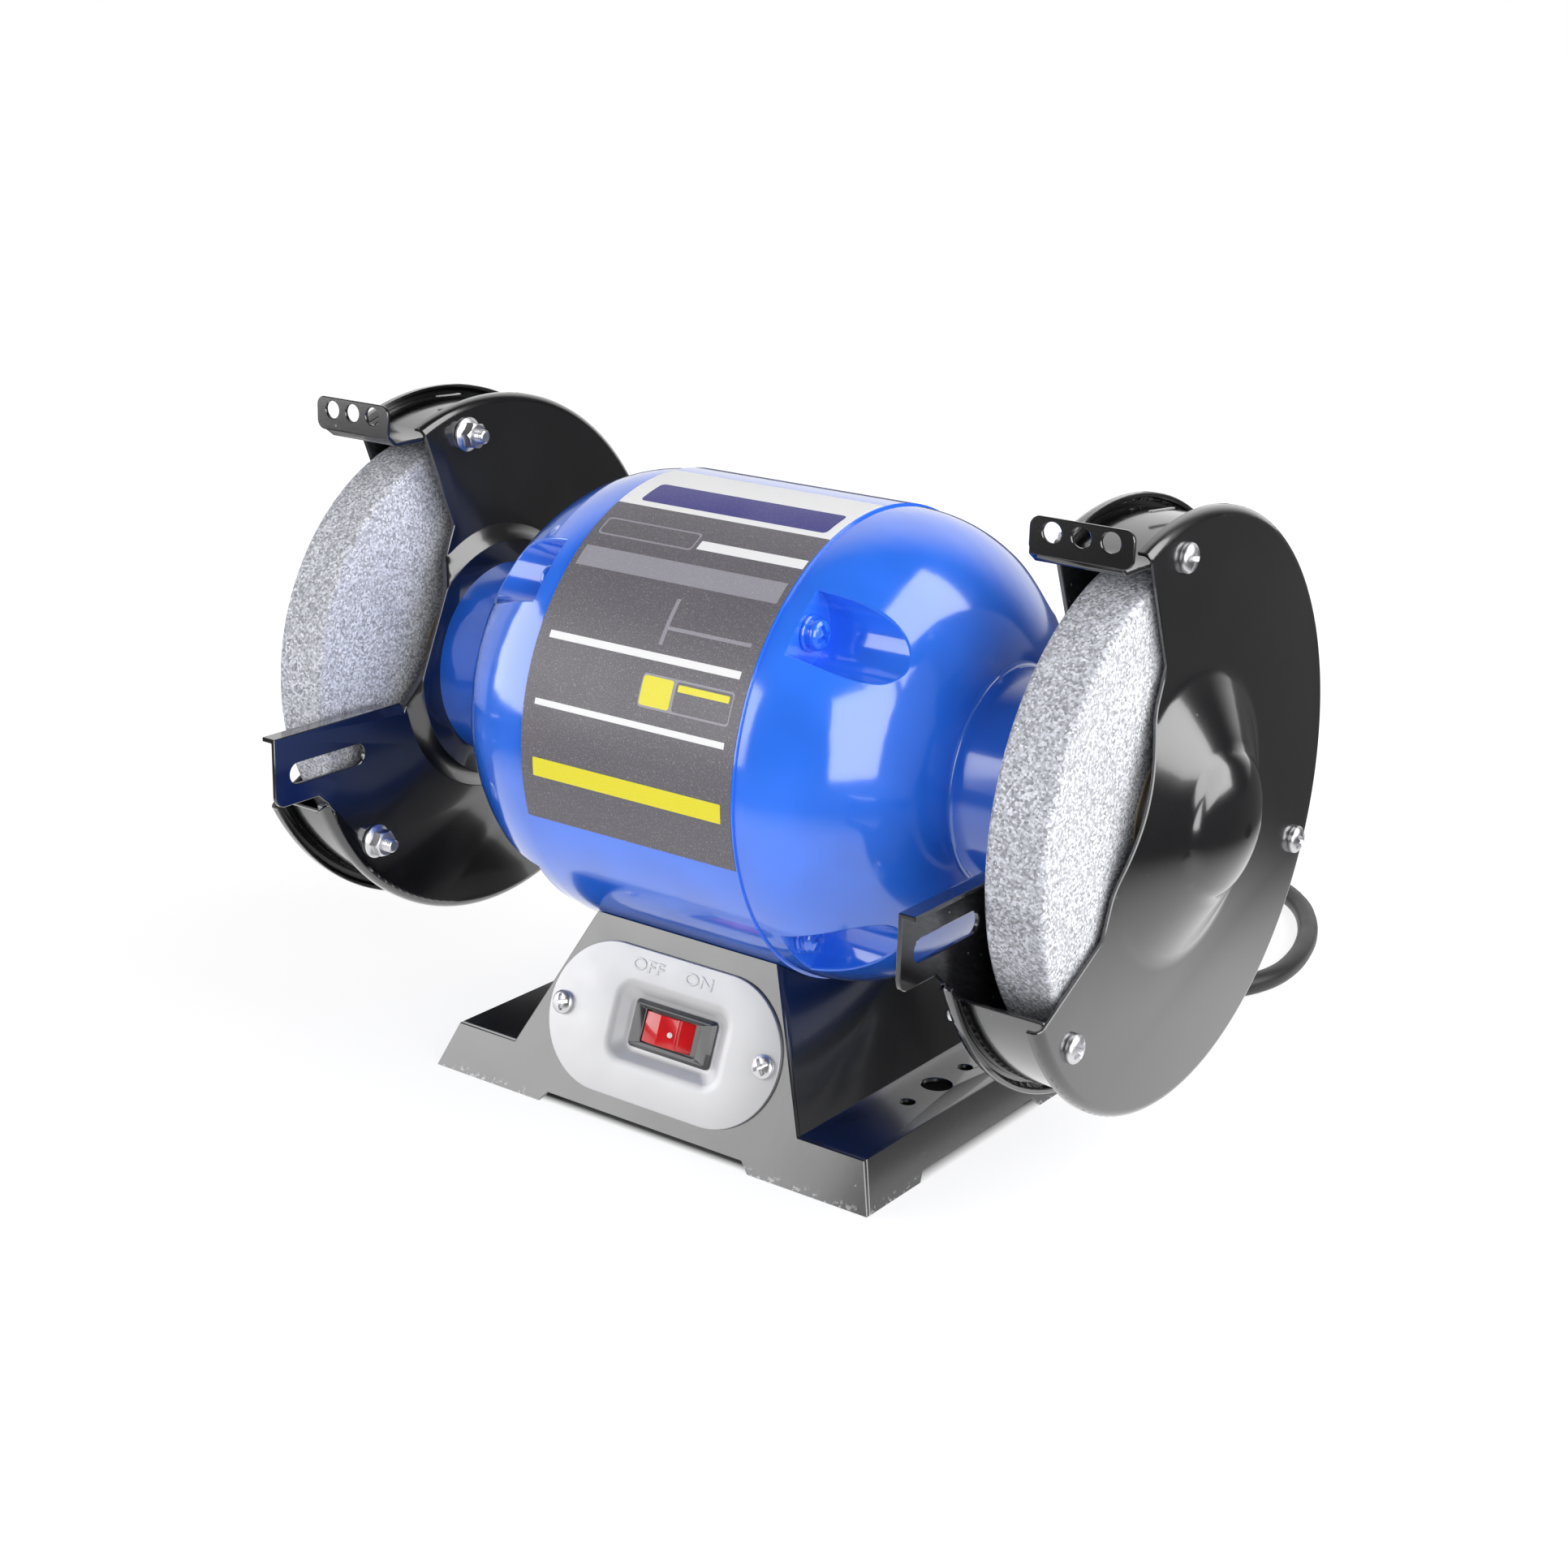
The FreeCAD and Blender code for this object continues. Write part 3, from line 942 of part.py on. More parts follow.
# Plug at the end of the coil: moulded body with two blades and a round pin
plug_start = coil_end + coil_heading * size("cord_tail")
plug = doc.addObject("PartDesign::Body", "power_plug")
turn_x = FreeCAD.Rotation(V(1, 0, 0), coil_heading)
plug.Placement = FreeCAD.Placement(plug_start, turn_x)
turned(plug, [("0.02", "0"), ("18", "0"), ("18", "7.5"), ("0.02", "cord_diameter / 2 + 0.8")])
pad(plug, outline(plug, "YZ_Plane", rectangle("0", "0", "26", "2 * (cord_diameter * 3 / 2 + 0.3)", "5"),
                  "16"), "plug_length")
for across in ("-6.35", "6.35"):
    pad(plug, outline(plug, "YZ_Plane", rectangle(across, "3", "1.5", "6.3"), "16 + plug_length"), "17")
pad(plug, discs(plug, "YZ_Plane", [("0", "-6.5")], "2.4", "16 + plug_length"), "20")
node("power_plug", plug)

doc.recompute()
broken = [o.Label for o in doc.Objects if "Invalid" in o.State or "Error" in o.State]
broken += [name for name, o in NODES.items() if o.Shape.isNull() or not o.Shape.isValid()]
if broken:
    raise RuntimeError("pieces to mend: " + ", ".join(sorted(set(broken))))
os.makedirs("parts", exist_ok=True)
for name, item in NODES.items():
    item.Shape.exportStep(os.path.join("parts", name + ".step"))
print(len(NODES), "pieces")
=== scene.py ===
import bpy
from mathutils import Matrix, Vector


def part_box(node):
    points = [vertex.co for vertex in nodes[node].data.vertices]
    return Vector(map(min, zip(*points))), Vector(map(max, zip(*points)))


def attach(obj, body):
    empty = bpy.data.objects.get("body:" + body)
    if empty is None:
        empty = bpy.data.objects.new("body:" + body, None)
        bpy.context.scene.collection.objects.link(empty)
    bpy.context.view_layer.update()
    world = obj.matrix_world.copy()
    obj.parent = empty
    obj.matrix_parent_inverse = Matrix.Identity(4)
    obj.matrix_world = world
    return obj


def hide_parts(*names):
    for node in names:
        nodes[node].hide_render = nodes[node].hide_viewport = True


bl_info = {
    "name": "Bench grinder",
    "version": (1, 0, 0),
    "blender": (4, 5, 0),
    "location": "3D View > Sidebar > Grinder",
    "description": "Dresses a two-wheel bench grinder: paint, grit, plated hardware, switch, sticker and mains cord",
    "category": "Object",
}

import math

import bmesh
import bpy
from bpy.props import FloatProperty, FloatVectorProperty, IntProperty, PointerProperty
from mathutils import Matrix, Vector

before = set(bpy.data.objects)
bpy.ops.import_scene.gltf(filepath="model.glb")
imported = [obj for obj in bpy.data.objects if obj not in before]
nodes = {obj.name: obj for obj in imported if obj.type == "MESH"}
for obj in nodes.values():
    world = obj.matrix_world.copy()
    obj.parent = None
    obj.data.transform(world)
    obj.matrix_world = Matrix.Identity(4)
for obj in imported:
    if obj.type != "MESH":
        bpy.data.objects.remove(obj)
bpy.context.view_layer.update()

MM = 0.001
SIDES = (("left", -1), ("right", 1))
SHAFT = sum(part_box("spindle_shaft"), Vector()) / 2
BAND_LOW, BAND_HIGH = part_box("motor_band")
BAND_RADIUS = (BAND_HIGH.z - BAND_LOW.z) / 2


# Sizes and colours that a user may change

class GrinderPaint(bpy.types.PropertyGroup):
    motor_blue: FloatVectorProperty(
        name="Motor blue", description="Paint of the motor band and end bells",
        subtype="COLOR", size=3, min=0, max=1, default=(0.028, 0.180, 0.92))
    guard_black: FloatVectorProperty(
        name="Guard black", description="Satin paint of the wheel guards",
        subtype="COLOR", size=3, min=0, max=1, default=(0.0045, 0.0045, 0.0055))
    base_black: FloatVectorProperty(
        name="Base black", description="Paint of the sheet-metal base",
        subtype="COLOR", size=3, min=0, max=1, default=(0.007, 0.007, 0.0082))
    rocker_red: FloatVectorProperty(
        name="Rocker red", description="Plastic of the switch rocker",
        subtype="COLOR", size=3, min=0, max=1, default=(0.66, 0.010, 0.014))
    rim_grey: FloatVectorProperty(
        name="Rim grey", description="Middle grey of the running face of the abrasive wheels",
        subtype="COLOR", size=3, min=0, max=1, default=(0.50, 0.51, 0.56))
    # Painted light: the flat sides are set paler than the running face, for the stronger light that falls on them.
    lit_side_grey: FloatVectorProperty(
        name="Side grey", description="Middle grey of the flat sides of the abrasive wheels",
        subtype="COLOR", size=3, min=0, max=1, default=(0.54, 0.548, 0.585))


class GrinderSticker(bpy.types.PropertyGroup):
    foot: FloatProperty(
        name="Foot", description="Angle of the lower edge round the shaft, in degrees above the front", default=-17.5)
    field: FloatProperty(
        name="Field", description="Angle where the dark field meets the white head strip, in degrees", default=67.0)
    head: FloatProperty(name="Head", description="Angle of the upper edge, in degrees", default=89.0)
    half_width: FloatProperty(
        name="Half width", description="From the middle of the motor to a side edge", unit="LENGTH", default=0.0401)
    film: FloatProperty(name="Film", description="Thickness of the printed film", unit="LENGTH", default=0.00016)


class GrinderSwitch(bpy.types.PropertyGroup):
    middle: FloatVectorProperty(
        name="Middle", description="Middle of the switch plate's back face",
        subtype="TRANSLATION", unit="LENGTH", size=3, default=(0.0, -0.04671, 0.0315))
    lean: FloatProperty(
        name="Lean", description="Turn of the plate about the X axis from lying flat",
        subtype="ANGLE", unit="ROTATION", default=math.radians(90) - math.atan(0.36))
    plate_size: FloatVectorProperty(
        name="Plate size", description="Length, height and thickness of the plate",
        subtype="XYZ", unit="LENGTH", size=3, default=(0.091, 0.0484, 0.0012))
    recess_size: FloatVectorProperty(
        name="Recess size", description="Length, height and depth of the pressed recess",
        subtype="XYZ", unit="LENGTH", size=3, default=(0.0444, 0.0256, 0.003))
    shelf_size: FloatVectorProperty(
        name="Shelf size", description="Length and height of the recess's floor",
        subtype="XYZ", unit="LENGTH", size=2, default=(0.0344, 0.0172))
    offset: FloatVectorProperty(
        name="Offset", description="Shift of the switch from the plate's middle",
        subtype="XYZ", unit="LENGTH", size=2, default=(0.0025, 0.0006))
    bezel_size: FloatVectorProperty(
        name="Bezel size", description="Length, height and rise of the bezel",
        subtype="XYZ", unit="LENGTH", size=3, default=(0.0322, 0.0155, 0.00175))
    opening_size: FloatVectorProperty(
        name="Opening size", description="Length and height of the opening for the rocker",
        subtype="XYZ", unit="LENGTH", size=2, default=(0.0216, 0.0104))


class GrinderCord(bpy.types.PropertyGroup):
    diameter: FloatProperty(
        name="Diameter", description="Thickness of the mains cord",
        unit="LENGTH", default=0.0078, min=0.003, max=0.02)
    length: FloatProperty(
        name="Length", description="Length of the mains cord from the strain relief to the plug",
        unit="LENGTH", default=1.79, min=0.5, max=5)
    turn_points: IntProperty(
        name="Points a turn", description="Control points in each turn of the coil", default=16, min=12, max=48)


class GrinderView(bpy.types.PropertyGroup):
    azimuth: FloatProperty(
        name="Azimuth", description="Camera angle round the grinder, in degrees from the front", default=35.35)
    elevation: FloatProperty(
        name="Elevation", description="Camera angle above the bench, in degrees", default=17.89)
    roll: FloatProperty(
        name="Roll", description="Tilt of the camera about its own line of sight, in degrees", default=1.76)
    distance: FloatProperty(
        name="Distance", description="From the camera to the point it looks at", unit="LENGTH", default=0.81877)
    lens: FloatProperty(
        name="Lens", description="Focal length on a 36 mm square sensor, in millimetres", default=58.443)
    target: FloatVectorProperty(
        name="Target", description="Point that the camera looks at",
        subtype="TRANSLATION", unit="LENGTH", size=3, default=(0.00541, 0.00725, 0.10205))


# Shader nodes

def new_group(name, inputs, outputs):
    group = bpy.data.node_groups.new(name, "ShaderNodeTree")
    for label, kind, value in inputs:
        socket = group.interface.new_socket(label, in_out="INPUT", socket_type="NodeSocket" + kind)
        socket.default_value = value
    for label, kind in outputs:
        group.interface.new_socket(label, in_out="OUTPUT", socket_type="NodeSocket" + kind)
    return group, group.nodes.new("NodeGroupInput"), group.nodes.new("NodeGroupOutput")


def node(tree, kind, **settings):
    made = tree.nodes.new("ShaderNode" + kind)
    for key, value in settings.items():
        if key in made.inputs:
            made.inputs[key].default_value = value
        else:
            setattr(made, key, value)
    return made


def link(tree, start, end):
    tree.links.new(start, end)


def own_place(tree):
    """Object coordinates."""
    return node(tree, "TexCoord").outputs["Object"]


def textured(tree, kind, **settings):
    """Texture node on the object's own coordinates."""
    made = node(tree, "Tex" + kind, **settings)
    link(tree, own_place(tree), made.inputs["Vector"])
    return made


def maths(tree, operation, first, second=None, third=None):
    """Math node; a number or a socket may stand for each input."""
    made = node(tree, "Math", operation=operation)
    for socket, value in zip(made.inputs, (first, second, third)):
        if isinstance(value, (int, float)):
            socket.default_value = value
        elif value is not None:
            link(tree, value, socket)
    return made.outputs[0]


def ranged(tree, value, low, high, start=0.0, end=1.0, smooth=False):
    """Map Range from low..high to start..end."""
    made = node(tree, "MapRange", interpolation_type="SMOOTHSTEP" if smooth else "LINEAR")
    for label, number in (("From Min", low), ("From Max", high), ("To Min", start), ("To Max", end)):
        made.inputs[label].default_value = number
    link(tree, value, made.inputs["Value"])
    return made.outputs["Result"]


def ramp(tree, fac, stops):
    made = node(tree, "ValToRGB")
    elements = made.color_ramp.elements
    while len(elements) < len(stops):
        elements.new(0.5)
    for element, (position, colour) in zip(elements, stops):
        element.position = position
        element.color = (*colour, 1) if hasattr(colour, "__len__") else (colour, colour, colour, 1)
    link(tree, fac, made.inputs["Fac"])
    return made.outputs["Color"]


def mixed(tree, fac, first, second):
    """Colour mix; a plain colour or a socket may stand for each side."""
    made = node(tree, "Mix", data_type="RGBA")
    link(tree, fac, made.inputs["Factor"])
    for socket, value in zip(made.inputs[6:8], (first, second)):
        if hasattr(value, "__len__"):
            socket.default_value = (*value, 1)
        else:
            link(tree, value, socket)
    return made.outputs[2]


def bump(tree, shader, height, strength, distance):
    made = node(tree, "Bump", Strength=strength, Distance=distance)
    link(tree, height, made.inputs["Height"])
    link(tree, made.outputs["Normal"], shader.inputs["Normal"])


def shade(colour, factor):
    return tuple(min(1.0, c * factor) for c in colour)


def paint_film_group():
    """Orange peel and slow waviness of a sprayed paint film, a faint change of tone and sparse dust specks."""
    group, inner, outer = new_group(
        "paint_film",
        [("Peel Size", "Float", 450.0), ("Wave Size", "Float", 40.0), ("Speck Size", "Float", 260.0)],
        [("Height", "Float"), ("Tone", "Float"), ("Specks", "Float")])
    peel = textured(group, "Noise", Detail=2.0, Roughness=0.5)
    wave = textured(group, "Noise", Detail=1.0)
    dust = textured(group, "Voronoi", Randomness=1.0)
    patch = textured(group, "Noise", Scale=14.0, Detail=2.0)
    for label, texture in (("Peel Size", peel), ("Wave Size", wave), ("Speck Size", dust)):
        link(group, inner.outputs[label], texture.inputs["Scale"])
    colour = node(group, "SeparateColor")
    link(group, dust.outputs["Color"], colour.inputs["Color"])
    chosen = maths(group, "GREATER_THAN", colour.outputs["Red"], 0.9)
    close = ranged(group, dust.outputs["Distance"], 0.05, 0.11, 1.0, 0.0)
    cloud = ranged(group, patch.outputs["Fac"], 0.45, 0.65)
    height = maths(group, "MULTIPLY_ADD", peel.outputs["Fac"], 0.35, wave.outputs["Fac"])
    specks = maths(group, "MULTIPLY", maths(group, "MULTIPLY", chosen, close), cloud)
    for label, value in (("Height", height), ("Tone", wave.outputs["Fac"]), ("Specks", specks)):
        link(group, value, outer.inputs[label])


def metal_grain_group():
    """Fine grain and cloudy tone of bare or plated metal, and of moulded skins."""
    group, inner, outer = new_group(
        "metal_grain", [("Grain Size", "Float", 900.0)], [("Height", "Float"), ("Cloud", "Float")])
    grain = textured(group, "Noise", Detail=3.0)
    cloud = textured(group, "Noise", Scale=120.0, Detail=3.0)
    link(group, inner.outputs["Grain Size"], grain.inputs["Scale"])
    link(group, grain.outputs["Fac"], outer.inputs["Height"])
    link(group, cloud.outputs["Fac"], outer.inputs["Cloud"])


# Materials

def blank_material(name):
    material = bpy.data.materials.new(name)
    material.use_nodes = True
    tree = material.node_tree
    return material, tree, tree.nodes["Principled BSDF"]


def painted(name, colour, roughness, peel, peel_size=450.0, specular=0.5, dust=None, worn=0.0):
    """Sprayed paint under a clear coat: colour and roughness drift with the film, orange peel in the bump.

    Dust is the colour of specks in the paint, and of chips up to the height worn."""
    material, tree, shader = blank_material(name)
    film = node(tree, "Group", node_tree=bpy.data.node_groups["paint_film"])
    film.inputs["Peel Size"].default_value = peel_size
    tone = ramp(tree, film.outputs["Tone"], [(0.3, shade(colour, 0.9)), (0.7, shade(colour, 1.1))])
    if dust:
        tone = mixed(tree, film.outputs["Specks"], tone, dust)
    if worn:
        split = node(tree, "SeparateXYZ")
        link(tree, own_place(tree), split.inputs[0])
        chips = textured(tree, "Noise", Scale=650.0, Detail=3.0)
        chip = maths(tree, "MULTIPLY", ranged(tree, split.outputs["Z"], worn * 0.3, worn, 1.0, 0.0),
                     ranged(tree, chips.outputs["Fac"], 0.57, 0.62))
        tone = mixed(tree, chip, tone, dust)
    link(tree, tone, shader.inputs["Base Color"])
    link(tree, ramp(tree, film.outputs["Tone"], [(0.25, roughness - 0.04), (0.75, roughness + 0.04)]),
         shader.inputs["Roughness"])
    shader.inputs["Coat Weight"].default_value = 1.0
    shader.inputs["Coat Roughness"].default_value = 0.09
    shader.inputs["Specular IOR Level"].default_value = specular
    bump(tree, shader, film.outputs["Height"], peel, 0.0004)
    return material


def grained(name, grain_size, tones, roughness):
    """Material on the metal_grain group; tones and roughness are each a pair that the cloud runs between."""
    material, tree, shader = blank_material(name)
    texture = node(tree, "Group", node_tree=bpy.data.node_groups["metal_grain"])
    texture.inputs["Grain Size"].default_value = grain_size
    cloud = texture.outputs["Cloud"]
    link(tree, ramp(tree, cloud, list(zip((0.3, 0.7), tones))), shader.inputs["Base Color"])
    link(tree, ramp(tree, cloud, list(zip((0.25, 0.75), roughness))), shader.inputs["Roughness"])
    return material, tree, shader, texture.outputs["Height"]


def bare_metal(name, colour, roughness, grain=0.03, grain_size=900.0, spread=0.1):
    material, tree, shader, height = grained(
        name, grain_size, (shade(colour, 1 - spread), shade(colour, 1 + spread / 2)),
        (roughness * (1 - 2 * spread), roughness * (1 + 2 * spread)))
    shader.inputs["Metallic"].default_value = 1.0
    bump(tree, shader, height, grain, 0.0002)
    return material


def moulded(name, colour, roughness, grain=0.08, grain_size=1400.0, coat=0.0):
    """Moulded plastic or rubber with a fine skin texture."""
    material, tree, shader, height = grained(
        name, grain_size, (shade(colour, 0.85), shade(colour, 1.12)), (roughness * 0.9, roughness * 1.1))
    shader.inputs["Coat Weight"].default_value = coat
    bump(tree, shader, height, grain, 0.0003)
    return material


def printed(name, colour, fleck):
    """Ink under a satin film, with fine pale flecks in it."""
    material, tree, shader = blank_material(name)
    spots = textured(tree, "Noise", Scale=2600.0, Detail=2.0, Roughness=0.7)
    wave = textured(tree, "Noise", Scale=55.0, Detail=1.0)
    flecked = ranged(tree, spots.outputs["Fac"], 0.56, 0.78)
    link(tree, mixed(tree, flecked, colour, fleck), shader.inputs["Base Color"])
    link(tree, ramp(tree, wave.outputs["Fac"], [(0.3, 0.36), (0.7, 0.46)]), shader.inputs["Roughness"])
    bump(tree, shader, wave.outputs["Fac"], 0.05, 0.0003)
    return material


def grit_material(rim, side):
    """Bonded abrasive: pale and dark grains over grey, rough all through; the flat sides get a paler grey, a painted
    highlight for the stronger light on the sides.
    """
    material, tree, shader = blank_material("wheel_grit")
    grains = textured(tree, "Voronoi", Scale=1500.0, Randomness=1.0)
    clumps = textured(tree, "Noise", Scale=900.0, Detail=4.0, Roughness=0.7)
    drift = textured(tree, "Noise", Scale=45.0, Detail=3.0)
    split = node(tree, "SeparateColor")
    link(tree, grains.outputs["Color"], split.inputs["Color"])
    tone = maths(tree, "ADD", maths(tree, "MULTIPLY", split.outputs["Red"], 0.5),
                 maths(tree, "MULTIPLY", clumps.outputs["Fac"], 0.5))
    steps = ((0.2, 0.42), (0.5, 1.0), (0.68, 1.45), (0.85, 2.3))
    shades = [ramp(tree, tone, [(at, shade(grey, factor)) for at, factor in steps]) for grey in (rim, side)]
    facing = node(tree, "SeparateXYZ")
    link(tree, node(tree, "NewGeometry").outputs["True Normal"], facing.inputs[0])
    # Mask of the flat sides, which take the paler grey: a painted highlight for the lamp-lit sides.
    flat = ranged(tree, maths(tree, "ABSOLUTE", facing.outputs["X"]), 0.75, 0.98)
    worn = ranged(tree, drift.outputs["Fac"], 0.35, 0.75, 0.0, 0.25)
    link(tree, mixed(tree, worn, mixed(tree, flat, *shades), shade(rim, 0.7)), shader.inputs["Base Color"])
    link(tree, ranged(tree, tone, 0.2, 0.9, 0.92, 0.7), shader.inputs["Roughness"])
    shader.inputs["Specular IOR Level"].default_value = 0.35
    bump(tree, shader, tone, 0.7, 0.0005)
    return material


def finish_all(names, material):
    for name in names:
        slots = nodes[name].data.materials
        slots.clear()
        slots.append(material)


def sides(*names):
    return ["%s_%s" % (name, side) for name in names for side, _ in SIDES]


def finish(name):
    return bpy.data.materials[name]


class GRINDER_OT_finishes(bpy.types.Operator):
    """Gives every solid of the grinder its paint, metal, plastic or grit"""
    bl_idname = "grinder.finishes"
    bl_label = "Finishes"

    def execute(self, context):
        paint = context.scene.grinder_paint
        paint_film_group()
        metal_grain_group()
        blue = painted("motor_blue", tuple(paint.motor_blue), 0.15, 0.05, specular=0.8)
        guard = painted("guard_black", tuple(paint.guard_black), 0.20, 0.05, peel_size=700.0, specular=1.0,
                        dust=(0.35, 0.35, 0.36))
        base = painted("base_black", tuple(paint.base_black), 0.24, 0.16, peel_size=420.0, specular=1.0,
                       dust=(0.3, 0.3, 0.31), worn=0.0028)
        zinc = bare_metal("zinc_plate", (0.78, 0.78, 0.80), 0.33)
        steel = bare_metal("turned_steel", (0.55, 0.55, 0.56), 0.32)
        bearing = bare_metal("bearing_steel", (0.7, 0.7, 0.71), 0.12)
        core = bare_metal("core_steel", (0.3, 0.3, 0.31), 0.5)
        wire = bare_metal("winding_wire", (0.55, 0.22, 0.08), 0.4, 0.3, 500.0)
        plate = bare_metal("switch_plate_metal", (0.62, 0.62, 0.635), 0.56, 0.03, 1600.0, 0.03)
        grit = grit_material(tuple(paint.rim_grey), tuple(paint.lit_side_grey))
        paper = moulded("blotter_paper", (0.42, 0.35, 0.24), 0.9)
        housing = moulded("switch_housing", (0.022, 0.022, 0.025), 0.34, 0.05, 1400.0, 0.6)
        rocker = moulded("switch_rocker", tuple(paint.rocker_red), 0.16, 0.0, 900.0, 0.6)
        can = moulded("capacitor_can", (0.05, 0.05, 0.055), 0.5)
        rubber = moulded("cord_rubber", (0.018, 0.018, 0.019), 0.4)
        tie = moulded("tie_plastic", (0.03, 0.03, 0.032), 0.34)
        finish_all(["motor_band"] + sides("end_bell", "bell_screws"), blue)
        finish_all(sides("inner_guard", "guard_band", "outer_cover"), guard)
        finish_all(["base_saddle", "base_front_plate", "base_rear_plate", "bottom_cover"], base)
        finish_all(["motor_bolts", "bottom_cover_screws", "switch_plate_screws", "capacitor_clip"]
                   + sides("guard_screws", "guard_nuts", "guard_mount_screws"), zinc)
        finish_all(["spindle_shaft"] + sides("inner_flange", "outer_flange", "spindle_nut"), steel)
        finish_all(sides("bearing_outer", "bearing_inner", "bearing_balls"), bearing)
        finish_all(["stator_core", "rotor_core"], core)
        finish_all(["stator_windings"], wire)
        finish_all(sides("wheel"), grit)
        finish_all(sides("wheel_blotters"), paper)
        finish_all(["switch_plate"], plate)
        finish_all(["switch_housing"], housing)
        finish_all(["switch_rocker"], rocker)
        finish_all(["run_capacitor"], can)
        finish_all(["strain_relief", "power_cord", "cord_coil", "power_plug"], rubber)
        finish_all(["cord_tie"], tie)
        return {"FINISHED"}


# Shapes

def in_scene(name, data):
    made = bpy.data.objects.new(name, data)
    bpy.context.scene.collection.objects.link(made)
    return made


def merged(name):
    """Copy of a CAD node's mesh with its doubles merged."""
    bm = bmesh.new()
    bm.from_mesh(nodes[name].data)
    bmesh.ops.remove_doubles(bm, verts=bm.verts, dist=1e-6)
    return bm


def solids_of(name):
    """Low and high corner of each separate solid in a CAD node."""
    bm = merged(name)
    unseen, boxes = set(bm.verts), []
    while unseen:
        front = [unseen.pop()]
        island = list(front)
        while front:
            vert = front.pop()
            found = [v for v in (e.other_vert(vert) for e in vert.link_edges) if v in unseen]
            unseen.difference_update(found)
            front += found
            island += found
        boxes.append(tuple(Vector(pick(v.co[i] for v in island) for i in range(3)) for pick in (min, max)))
    bm.free()
    return sorted(boxes, key=lambda b: tuple(b[0]))


def verts_in(geom):
    return [g for g in geom if isinstance(g, bmesh.types.BMVert)]


def closed(bm):
    """Fills the open end that an extrusion leaves."""
    if any(edge.is_boundary for edge in bm.edges):
        bmesh.ops.holes_fill(bm, edges=bm.edges)


def eased(bm, geom, width, segments=3, affect="EDGES", clamp=True):
    """Rounds edges or corners over."""
    bmesh.ops.bevel(bm, geom=geom, offset=width, offset_type="OFFSET", segments=segments, profile=0.5,
                    affect=affect, material=-1, clamp_overlap=clamp)


def turned(profile, steps=32, angle=math.tau, climb=0.0):
    """Shape turned about its own Z axis from (radius, height) pairs; it climbs by climb in a turn."""
    bm = bmesh.new()
    verts = [bm.verts.new((radius, 0, height)) for radius, height in profile]
    edges = [bm.edges.new(ends) for ends in zip(verts, verts[1:])]
    whole = climb == 0.0 and angle == math.tau
    bmesh.ops.spin(bm, geom=verts + edges, cent=(0, 0, 0), axis=(0, 0, 1), angle=angle, steps=steps,
                   use_merge=whole, dvec=(0, 0, climb * angle / math.tau / steps))
    bmesh.ops.remove_doubles(bm, verts=bm.verts, dist=1e-6)
    return bm


def rounded_face(bm, length, height, corner, across=0.0, up=0.0, level=0.0, segments=8):
    """Flat face with rounded corners."""
    before = set(bm.faces)
    verts = bmesh.ops.create_grid(bm, x_segments=1, y_segments=1, size=0.5)["verts"]
    bmesh.ops.scale(bm, vec=(length, height, 1), verts=verts)
    bmesh.ops.translate(bm, vec=(across, up, level), verts=verts)
    eased(bm, verts, corner, segments, "VERTICES", False)
    return next(face for face in bm.faces if face not in before)


def raised(bm, faces, height):
    """Extrudes faces along Z and gives the moved faces."""
    made = bmesh.ops.extrude_face_region(bm, geom=faces)["geom"]
    bmesh.ops.translate(bm, vec=(0, 0, height), verts=verts_in(made))
    return [g for g in made if isinstance(g, bmesh.types.BMFace)]


def carved(bm, cutter, mode="DIFFERENCE"):
    """Cuts one closed shape with another and gives the result."""
    stock = []
    for shape in (bm, cutter):
        bmesh.ops.recalc_face_normals(shape, faces=shape.faces)
        mesh = bpy.data.meshes.new("stock")
        shape.to_mesh(mesh)
        shape.free()
        stock.append(in_scene("stock", mesh))
    cut = stock[0].modifiers.new("cut", "BOOLEAN")
    cut.operation, cut.object, cut.solver = mode, stock[1], "EXACT"
    bpy.context.view_layer.update()
    result = bmesh.new()
    result.from_object(stock[0], bpy.context.evaluated_depsgraph_get())
    for made in stock:
        bpy.data.meshes.remove(made.data)
    return result


def joined(parts):
    """One bmesh from (bmesh, matrix) pairs."""
    whole = bmesh.new()
    for shape, matrix in parts:
        mesh = bpy.data.meshes.new("part")
        shape.to_mesh(mesh)
        mesh.transform(matrix)
        whole.from_mesh(mesh)
        bpy.data.meshes.remove(mesh)
    return whole


def piece(name, bm, materials, body, hides=(), sharp=35, merge=1e-6):
    """Makes a bmesh a finished object that rides on a body; edges over sharp degrees stay crisp."""
    bmesh.ops.remove_doubles(bm, verts=bm.verts, dist=merge)
    bmesh.ops.recalc_face_normals(bm, faces=bm.faces)
    mesh = bpy.data.meshes.new(name)
    bm.to_mesh(mesh)
    bm.free()
    for material in materials:
        mesh.materials.append(material)
    mesh.shade_smooth()
    mesh.set_sharp_from_angle(angle=math.radians(sharp))
    made = in_scene(name, mesh)
    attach(made, body)
    if hides:
        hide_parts(*hides)
    return made


def seated(at, out):
    """Matrix that puts a shape's own Z axis along out, at a point."""
    return Matrix.Translation(at) @ Vector(out).to_track_quat("Z", "Y").to_matrix().to_4x4()


# Sheet metal

